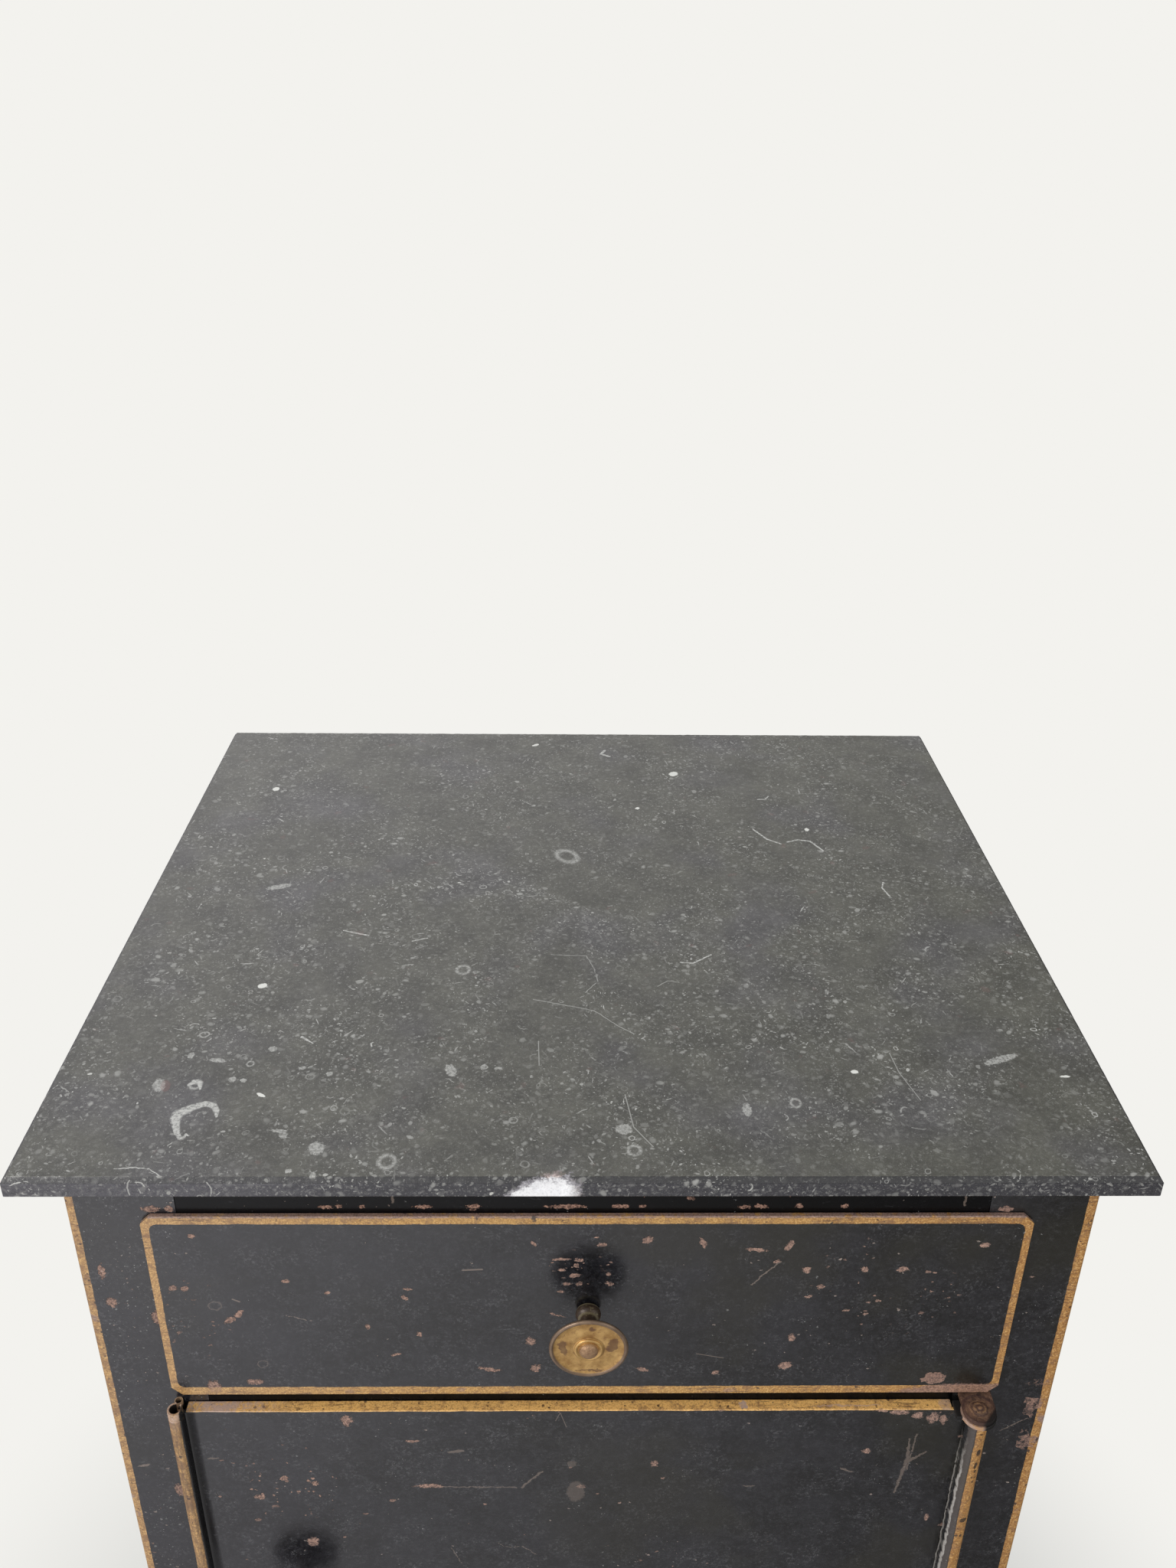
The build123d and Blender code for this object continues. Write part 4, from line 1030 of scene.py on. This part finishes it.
def brass_finish(name, knob):
    """Brass for one knob, which points out along its own axis from the face behind it."""
    r = Recipe(name)
    low, high = box_mm(knob)
    local = r.join(r.x - (low.x + high.x) / 2, r.z - (low.z + high.z) / 2)
    radius = r.length(local)
    out = high.y - r.y
    tarnish = r.step(r.noise(r.wobble(r.at, 3, 1.5), 2.4, 5, 0.75), 0.52, 0.68)
    marks = [(-9.8, 0.5, 2, 4.2, 14), (9.2, 1.6, 2.4, 4.4, -16), (1.2, 10.6, 1.4, 0.8), (2, -12, 8, 0.5)]
    smudge = patches(r.wobble(r.wobble(local, 3.5, 1.8), 1.2, 0.5), marks)
    boss = r.step(radius, 4.1, 3.5) * r.step(out, 19.2, 19.8)
    ring = r.step(radius, 5.9, 5.5) * r.step(radius, 4.1, 4.4)
    groove = r.step(abs(radius - 6.05), 0.35, 0.1)
    face = r.coats(
        r.mix(r.step(r.noise(r.at, 4.5, 4, 0.6), 0.1, 0.9), (144, 102, 51), (230, 190, 124)),
        (tarnish * 0.5, (126, 88, 64)),
        (smudge * 0.66, (96, 68, 60)),
        (boss, r.mix(r.noise(r.at, 1.2, 4, 0.7), (92, 58, 40), (206, 170, 132))),
        (ring * 0.35, (214, 178, 116)),
        (groove * 0.35, (110, 76, 46)),
        (r.step(radius, 13.3, 13.9) * 0.85, r.mix(r.noise(r.at, 5, 3), (66, 52, 52), (146, 128, 116))),
    )
    brown = r.mix(r.noise(r.at, 2.2, 4, 0.65), (34, 25, 20), (78, 60, 44))
    worn = r.step(r.noise(r.wobble(r.at, 2, 0.8), 1.8, 5, 0.75), 0.56, 0.66)
    upper_ring = r.step(abs(out - 1.7), 0.6, 0.1)
    lower_ring = r.step(abs(out - 5.2), 0.4, 0.1) * 0.5
    worn_there = r.most(worn * 0.6, r.most(upper_ring, lower_ring) * 0.7)
    behind = r.step(out, 18.9, 18.2)
    dull = r.most(smudge, tarnish, boss)
    beaten = boss * r.noise(r.at, 0.9, 3) * 2.5
    return r.finish_with(
        Base_Color=r.mix(behind, face, r.mix(worn_there, brown, (164, 152, 118))),
        Roughness=r.noise(r.at, 4, 4) * 0.16 + 0.26 + dull * 0.16,
        Metallic=0.6 - behind * 0.35,
        Normal=r.bump(r.noise(r.at, 2.2, 4, 0.65) + beaten, 0.1),
    )


def collar_finish():
    """The opened end of the door's roll, under the lug: worn ochre over pinkish iron, with painted shadow
    in black behind it.
    """
    r = Recipe("worn_collar")
    torn = r.wobble(r.wobble(r.at, 2.0, 0.8), 0.7, 0.3)
    across = r.x - hinge_pin.x
    deep = r.y - hinge_pin.y
    shadow_side = r.step(across * 0.9 + deep * -0.3, 1.6, 3.4)
    from_pin = r.length(r.join(across, deep))
    colour = r.coats(
        r.mix(r.noise(r.at, 1.4, 4, 0.7), (122, 88, 76), (206, 176, 156)),
        (r.step(r.noise(torn, 3, 4, 0.7), 0.5, 0.6) * 0.6, (190, 142, 84)),
        # Painted shadow: black behind the collar, beyond its ring and on the side away from the light.
        (r.most(r.step(from_pin, 7.3, 7.6), r.step(r.y, -172, -170), shadow_side), (12, 11, 11)),
    )
    rough = r.noise(r.at, 0.9, 4, 0.7)
    return r.finish_with(Base_Color=colour, Roughness=0.6, Normal=r.bump(rough, 0.15))


# %% Make the other finishes
inside_paint = inside_finish()
rusted_iron = rust_finish()
worn_collar = collar_finish()
bare_iron = bare_finish()
drawer_brass = brass_finish("drawer_brass", "drawer_knob")
door_brass = brass_finish("door_brass", "door_knob")
print("brass recipe:", len(drawer_brass.node_tree.nodes), "nodes")

# %% [markdown]
# ## Working as at a bench
#
# The pieces are shaped with Blender's own operators, which act on what is selected. A few helpers
# keep that safe: one leaves a single piece selected, two extrude it row by row and fill its ends,
# and the last closes it by setting its origin, its shading and the body that it moves with.

# %% Selecting, extruding and closing


def pick(piece):
    bpy.ops.object.select_all(action="DESELECT")
    piece.select_set(True)
    bpy.context.view_layer.objects.active = piece


def next_row(rise, across, deep, centre=(0, 0, 0)):
    """In edit mode, draw the open edge upwards by metres and resize it."""
    bpy.ops.mesh.extrude_region_move(TRANSFORM_OT_translate={"value": (0, 0, rise)})
    bpy.ops.transform.resize(value=(across, deep, 1), center_override=centre)


def fill_ends():
    """Fill both open ends, turn the faces outwards and leave edit mode."""
    bpy.ops.mesh.select_all(action="SELECT")
    bpy.ops.mesh.fill_holes(sides=0)
    bpy.ops.mesh.normals_make_consistent(inside=False)
    bpy.ops.object.mode_set(mode="OBJECT")


def close(piece, body, stands_for, finish, smooth_degrees=35):
    """Set a finished piece down: place in its mesh, shading, finish, body and the node it replaces."""
    pick(piece)
    bpy.ops.object.transform_apply()
    bpy.ops.object.shade_smooth_by_angle(angle=math.radians(smooth_degrees))
    piece.data.materials.clear()
    piece.data.materials.append(finish)
    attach(piece, body)
    if stands_for:
        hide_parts(*stands_for)
    return piece


# %% [markdown]
# ## The slab
#
# Sawn stone has no sharp edges left after a century. The slab starts as a rectangle of fine edges,
# which is extruded upwards row by row: a narrow rounding below, the sawn face, then the sloping
# arris under the top. Two Displace modifiers roughen it, a fine one on all the edges and a coarse
# one that nicks the arris. A rough ball is then taken out of the front, where a blow has crushed
# the stone.

# %% Extrude the slab's rows
arris = 1.8
under_arris = 0.8
# Each row is a height above the underside and an inset from the outline.
slab_rows = [
    (under_arris * 0.5, 0.25), (under_arris, 0), (2.4, 0), (4, 0), (5.6, 0), (7, 0),
    (7.5, 0.45), (8.1, 1), (8.6, 1.45), (9, arris), (9, 2.6), (9, 4.2),
]
slab_width = slab_high.x - slab_low.x
slab_depth = slab_high.y - slab_low.y
slab_middle = (slab_low + slab_high) / 2

bpy.ops.mesh.primitive_plane_add(size=1, location=(0, slab_middle.y * MM, slab_low.z * MM))
slab = bpy.context.object
slab.name = "fossil_stone_slab"
inset = under_arris
slab.scale = ((slab_width - 2 * inset) * MM, (slab_depth - 2 * inset) * MM, 1)
pick(slab)
bpy.ops.object.transform_apply()
bpy.ops.object.mode_set(mode="EDIT")
bpy.ops.mesh.select_all(action="SELECT")
bpy.ops.mesh.delete(type="ONLY_FACE")
bpy.ops.mesh.select_all(action="SELECT")
bpy.ops.mesh.subdivide(number_cuts=20)
bpy.ops.mesh.subdivide(number_cuts=20)
height = 0.0
for row_height, row_inset in slab_rows:
    widths = (slab_width - 2 * row_inset) / (slab_width - 2 * inset)
    depths = (slab_depth - 2 * row_inset) / (slab_depth - 2 * inset)
    next_row((row_height - height) * MM, widths, depths, (0, slab_middle.y * MM, 0))
    height = row_height
    inset = row_inset
fill_ends()
print("slab:", len(slab.data.vertices), "points")

# %% Roughen the edges and nick the arris


def roughen(piece, name, group, size, depth, contrast):
    """Push the group's points inwards by a noise of the given size and depth, both in mm."""
    texture = bpy.data.textures.new(name, "CLOUDS")
    texture.noise_scale = size * MM
    texture.contrast = contrast
    pick(piece)
    modifier = piece.modifiers.new(name, "DISPLACE")
    modifier.texture = texture
    modifier.texture_coords = "LOCAL"
    modifier.strength = depth * MM
    modifier.mid_level = 1.0
    if group:
        modifier.vertex_group = group
    bpy.ops.object.modifier_apply(modifier=name)


edge_group = slab.vertex_groups.new(name="edges")
arris_group = slab.vertex_groups.new(name="arris")
for point in slab.data.vertices:
    from_side = slab_width / 2 - abs(point.co.x / MM)
    from_end = slab_depth / 2 - abs(point.co.y / MM - slab_middle.y)
    from_rim = min(from_side, from_end)
    up = point.co.z / MM - slab_low.z
    if from_rim < 2.0:
        edge_group.add([point.index], 1.0 if up < 8.9 else 0.4, "REPLACE")
    if from_rim < 3.0 and up > 6.5:
        arris_group.add([point.index], 0.35 if up < 7.2 or from_rim > 2.0 else 1.0, "REPLACE")
roughen(slab, "sawn", "edges", 2.2, 0.05, 1.0)
roughen(slab, "nicks", "arris", 3.0, 0.1, 3.0)
print("roughened:", sum(bool(point.groups) for point in slab.data.vertices), "points")

# %% Take the bruise out of the front edge
ball_radius = 30.0
ball_rise = 3.0
chip_depth = 2.6
depth_there = math.sqrt(ball_radius**2 - ball_rise**2) - chip_depth
ball_place = Vector((chip_x, slab_low.y - depth_there, slab_high.z + ball_rise))
bpy.ops.mesh.primitive_ico_sphere_add(subdivisions=6, radius=ball_radius * MM, location=ball_place * MM)
hammer = bpy.context.object
pick(hammer)
bpy.ops.object.transform_apply()
roughen(hammer, "crushed", None, 2.6, 0.9, 1.5)
pick(slab)
cut = slab.modifiers.new("bruise", "BOOLEAN")
cut.operation = "DIFFERENCE"
cut.solver = "EXACT"
cut.object = hammer
bpy.ops.object.modifier_apply(modifier="bruise")
bpy.data.objects.remove(hammer)
close(slab, "cabinet", ["stone_top"], stone, 25)
print("bruised slab:", len(slab.data.polygons), "faces")

# %% [markdown]
# ## Softened folds
#
# A sheet of iron folds round a small radius, and a century of hands rounds its cut edges. The
# measured pieces have mathematically sharp edges, which look like cardboard because no edge catches
# the light. So each sheet piece is copied, the copy's loose triangles are merged and its flat parts
# joined, and a narrow Bevel runs along every edge that turns by more than thirty degrees.

# %% Soften the sheet pieces
fold_width = 0.3


def softened(node, body, finish):
    """A copy of a measured piece with its edges rounded, which stands for the piece."""
    source = nodes[node]
    piece = source.copy()
    piece.data = source.data.copy()
    piece.parent = None
    for key in list(piece.keys()):
        if key.startswith("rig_"):
            del piece[key]
    piece.name = node + "_folded"
    bpy.context.scene.collection.objects.link(piece)
    pick(piece)
    bpy.ops.object.mode_set(mode="EDIT")
    bpy.ops.mesh.select_all(action="SELECT")
    bpy.ops.mesh.customdata_custom_splitnormals_clear()
    bpy.ops.mesh.remove_doubles(threshold=0.002 * MM)
    bpy.ops.mesh.dissolve_limited(angle_limit=math.radians(0.3))
    bpy.ops.object.mode_set(mode="OBJECT")
    bevel = piece.modifiers.new("fold", "BEVEL")
    bevel.width = fold_width * MM
    bevel.segments = 2
    bevel.limit_method = "ANGLE"
    bevel.angle_limit = math.radians(30)
    bevel.use_clamp_overlap = True
    bpy.ops.object.modifier_apply(modifier="fold")
    close(piece, body, [node], finish, 50)
    flats = piece.modifiers.new("flats", "WEIGHTED_NORMAL")
    flats.mode = "FACE_AREA"
    flats.keep_sharp = True
    flats.weight = 100
    bpy.ops.object.modifier_apply(modifier="flats")
    return piece


soft_pieces = [
    ("cabinet", "black_paint", side_paint, ["side_left", "side_right"]),
    ("cabinet", "black_paint", top_rail_paint, ["top_rail"]),
    ("cabinet", "black_paint", mid_rail_paint, ["mid_rail"]),
    ("cabinet", "black_paint", plain_paint, ["bottom_rail", "back_panel"]),
    ("drawer", "black_paint", drawer_paint, ["drawer_front"]),
    ("door", "black_paint", door_paint, ["door_panel"]),
    ("cabinet", "rusted_iron", rusted_iron, ["hinge_lug_upper", "hinge_lug_lower"]),
    ("door", "rusted_iron", worn_collar, ["door_ear_upper", "door_ear_lower"]),
]
for body, slot, finish, names in soft_pieces:
    for name in names:
        piece = softened(name, body, finish)
        print(name, len(piece.data.polygons), "faces")

# %% [markdown]
# ## Turned knobs
#
# A knob is turned on a lathe, so it is modelled as one: a circle is extruded and resized step by
# step along the profile. It has a ball-like collar at the base, a slim neck that flares out, a disc
# with a beaded rim and a hollowed face, a raised ring and a domed boss. It is turned upright, then
# laid forwards so that its axis points out of the cabinet.

# %% The lathe


def lathe(name, profile, sides=72):
    """A round piece about Z from (radius, height) pairs in mm, closed at both ends."""
    radius, height = profile[0]
    bpy.ops.mesh.primitive_circle_add(vertices=sides, radius=radius * MM, location=(0, 0, height * MM))
    piece = bpy.context.object
    piece.name = name
    pick(piece)
    bpy.ops.object.transform_apply()
    bpy.ops.object.mode_set(mode="EDIT")
    bpy.ops.mesh.select_all(action="SELECT")
    for next_radius, next_height in profile[1:]:
        grow = next_radius / radius
        next_row((next_height - height) * MM, grow, grow)
        radius = next_radius
        height = next_height
    fill_ends()
    return piece


def arc_steps(middle_radius, middle_height, reach, first, last, count):
    """Profile points round part of a circle, with angles from straight out towards the tip."""
    angles = [math.radians(first + (last - first) * i / (count - 1)) for i in range(count)]
    return [(middle_radius + reach * math.cos(a), middle_height + reach * math.sin(a)) for a in angles]


def knob_profile():
    collar = arc_steps(2.2, 2.8, 2.85, -72, 72, 9)
    neck = [(3.05, 6.0), (3.0, 7.4), (3.1, 9.6), (3.5, 11.8)]
    flare = [(4.2, 13.6), (5.6, 15.2), (8.0, 16.5), (11.5, 17.3), (14.3, 17.8)]
    rim = arc_steps(14.35, 18.75, 0.93, -80, 110, 9)
    dish = [(13.75, 19.2), (13.3, 18.95), (11.5, 18.85), (9.0, 18.95), (6.6, 19.05), (5.9, 18.9)]
    ring = arc_steps(5.0, 19.35, 0.62, -20, 120, 6)
    boss = [(4.25, 19.5), (4.0, 19.45), (3.75, 19.9)]
    turns = [math.radians(degrees) for degrees in range(10, 90, 13)]
    dome = [(3.7 * math.cos(turn), 20.0 + 1.95 * math.sin(turn)) for turn in turns]
    return [(3.4, 0.0)] + collar + neck + flare + rim + dish + ring + boss + dome


# %% The two knobs
knobs = [("drawer_knob", "drawer", drawer_brass), ("door_knob", "door_latch", door_brass)]
for node, body, finish in knobs:
    low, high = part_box(node)
    knob = lathe(node + "_turned", knob_profile())
    knob.rotation_euler = (math.radians(90), 0, 0)
    knob.location = ((low.x + high.x) / 2, high.y, (low.z + high.z) / 2)
    close(knob, body, [node], finish, 50)
    print(knob.name, len(knob.data.polygons), "faces")

# %% [markdown]
# ## The curl beside the bead
#
# Behind the top of the door's bead, the inner edge of the left stile ends in a small open curl. It
# is a short tube with a thin wall, so it comes off the same lathe, and stands against the stile.

# %% The curl
curl_radius = 1.7
curl_wall = 0.45
curl_low = 700.0
curl_high = 716.9
curl_x = -166.4
stile_face_y = left_low.y


def curl_finish():
    r = Recipe("worn_curl")
    worn = r.mix(r.noise(r.at, 1.2, 4, 0.7), (96, 72, 58), (206, 172, 134))
    colour = r.mix(r.step(r.z, curl_high - 0.8, curl_high - 3.0), worn, (12, 11, 12))
    inside = r.length(r.join(r.x - curl_x, r.y - (stile_face_y - curl_radius)))
    bore = curl_radius - curl_wall
    # Painted shade: the bore of the curl is near black.
    colour = r.mix(r.step(inside, bore + 0.1, bore), colour, (8, 7, 8))
    return r.finish_with(Base_Color=colour, Roughness=0.5, Normal=r.bump(r.noise(r.at, 0.8, 3), 0.1))


curl_profile = [
    (curl_radius, curl_low),
    (curl_radius, curl_high),
    (curl_radius - curl_wall, curl_high),
    (curl_radius - curl_wall, curl_high - 8.0),
]
curl = lathe("stile_curl", curl_profile, 32)
curl.location = (curl_x * MM, (stile_face_y - curl_radius + 0.1) * MM, 0)
close(curl, "cabinet", None, curl_finish())
print("curl:", len(curl.data.polygons), "faces")

# %% [markdown]
# ## Finishes for the pieces that stay as they are
#
# The rest of the cabinet, inside, under and behind, keeps its measured shape. Each kind of piece
# only gets the finish that it has on the real one.

# %% Give the remaining pieces their finish
finish_of = {
    plain_paint: ["side_rivets", "back_rivets", "foot_soles"],
    inside_paint: [
        "drawer_deck", "compartment_floor", "drawer_runner_left", "drawer_runner_right",
        "shelf_ledge_left", "shelf_ledge_right", "inner_shelf", "top_gussets", "foot_braces",
        "drawer_side_left", "drawer_side_right", "drawer_bottom", "drawer_back", "drawer_rivets",
    ],
    rusted_iron: ["hinge_pin_upper", "hinge_pin_lower", "lug_rivets"],
    bare_iron: [
        "latch_keeper", "latch_bush", "latch_spindle", "latch_tongue", "latch_nut",
        "drawer_knob_screw", "drawer_knob_washer", "drawer_knob_nut",
    ],
}
for finish, names in finish_of.items():
    for name in names:
        nodes[name].data.materials.clear()
        nodes[name].data.materials.append(finish)
print("finished:", sum(len(names) for names in finish_of.values()), "measured pieces")

# %% [markdown]
# ## Floor and light
#
# The stage is as plain as it can be: a pale floor that fades into an even pale world, so that no
# horizon cuts behind the slab. What polished stone and old lacquer mirror is told apart from what
# is seen: brighter on the window's side, darker across the room and on the floor near the cabinet.
# Daylight in the photograph is soft and comes from the front left, so one large lamp does most of
# the work and the world fills in.

# %% Floor
backdrop = (243, 242, 238)
window_side = (255, 253, 255)
room_dim_side = (180, 179, 172)
floor_dim_side = (124, 121, 118)
floor_near = (150, 149, 150)
floor_radius = 7.0

bpy.ops.mesh.primitive_circle_add(vertices=96, radius=floor_radius, fill_type="NGON")
floor = bpy.context.object
floor.name = "floor"
r = Recipe("floor")
glossy_ray = r.add("LightPath", output="Is Glossy Ray")
mirrored = r.mix(r.step(r.x, -600, 650), window_side, floor_dim_side)
mirrored = r.mix(r.step(r.y, -1100, -300), mirrored, floor_near, blend_type="MULTIPLY")
matte = r.add("BsdfDiffuse", {"Color": shade(236, 235, 229)})
plain = r.add("Emission", {"Color": r.mix(glossy_ray, backdrop, mirrored)})
fade = r.most(r.step(r.length(r.at), 230, 660), glossy_ray * 0.9)
r.add("OutputMaterial", {"Surface": r.add("MixShader", {0: fade, 1: matte, 2: plain})})
floor.data.materials.append(r.finish)
print("floor:", floor_radius, "m in radius")

# %% World
# A world's place is the direction of a ray, so x runs here from -1000 on the left to 1000.
r = Recipe("even_room", "worlds", "Generated")
rays = r.add("LightPath", output=["Is Camera Ray", "Is Transmission Ray", "Is Glossy Ray"])
to_right = r.add("MapRange", {"Value": r.x, "From Min": -300, "From Max": 420})
mirrored = r.mix(to_right, window_side, room_dim_side)
room = r.add("Background", {"Color": (0.93, 0.96, 1.0, 1.0), "Strength": 0.62})
wall = r.add("Background", {"Color": r.mix(rays[2], backdrop, mirrored)})
r.add("OutputWorld", {"Surface": r.add("MixShader", {0: r.most(*rays), 1: room, 2: wall})})
bpy.context.scene.world = r.finish
print("world:", len(r.tree.nodes), "nodes")

# %% Lamps


def lamp(name, place, size, watts, colour=(1, 1, 1)):
    """A square lamp that faces the middle of the cabinet."""
    bpy.ops.object.light_add(type="AREA", location=place)
    light = bpy.context.object
    light.name = name
    light.data.size = size
    light.data.energy = watts
    light.data.color = colour
    away = Vector((0, 0, 0.6)) - Vector(place)
    light.rotation_euler = away.to_track_quat("-Z", "Y").to_euler()
    print(name, "lamp:", watts, "watts")


lamp("window", (-1.9, -1.5, 2.2), 1.3, 34, (1.0, 0.98, 0.95))
lamp("fill", (1.8, -1.4, 1.8), 1.6, 7)

bpy.context.scene.view_settings.view_transform = "Standard"
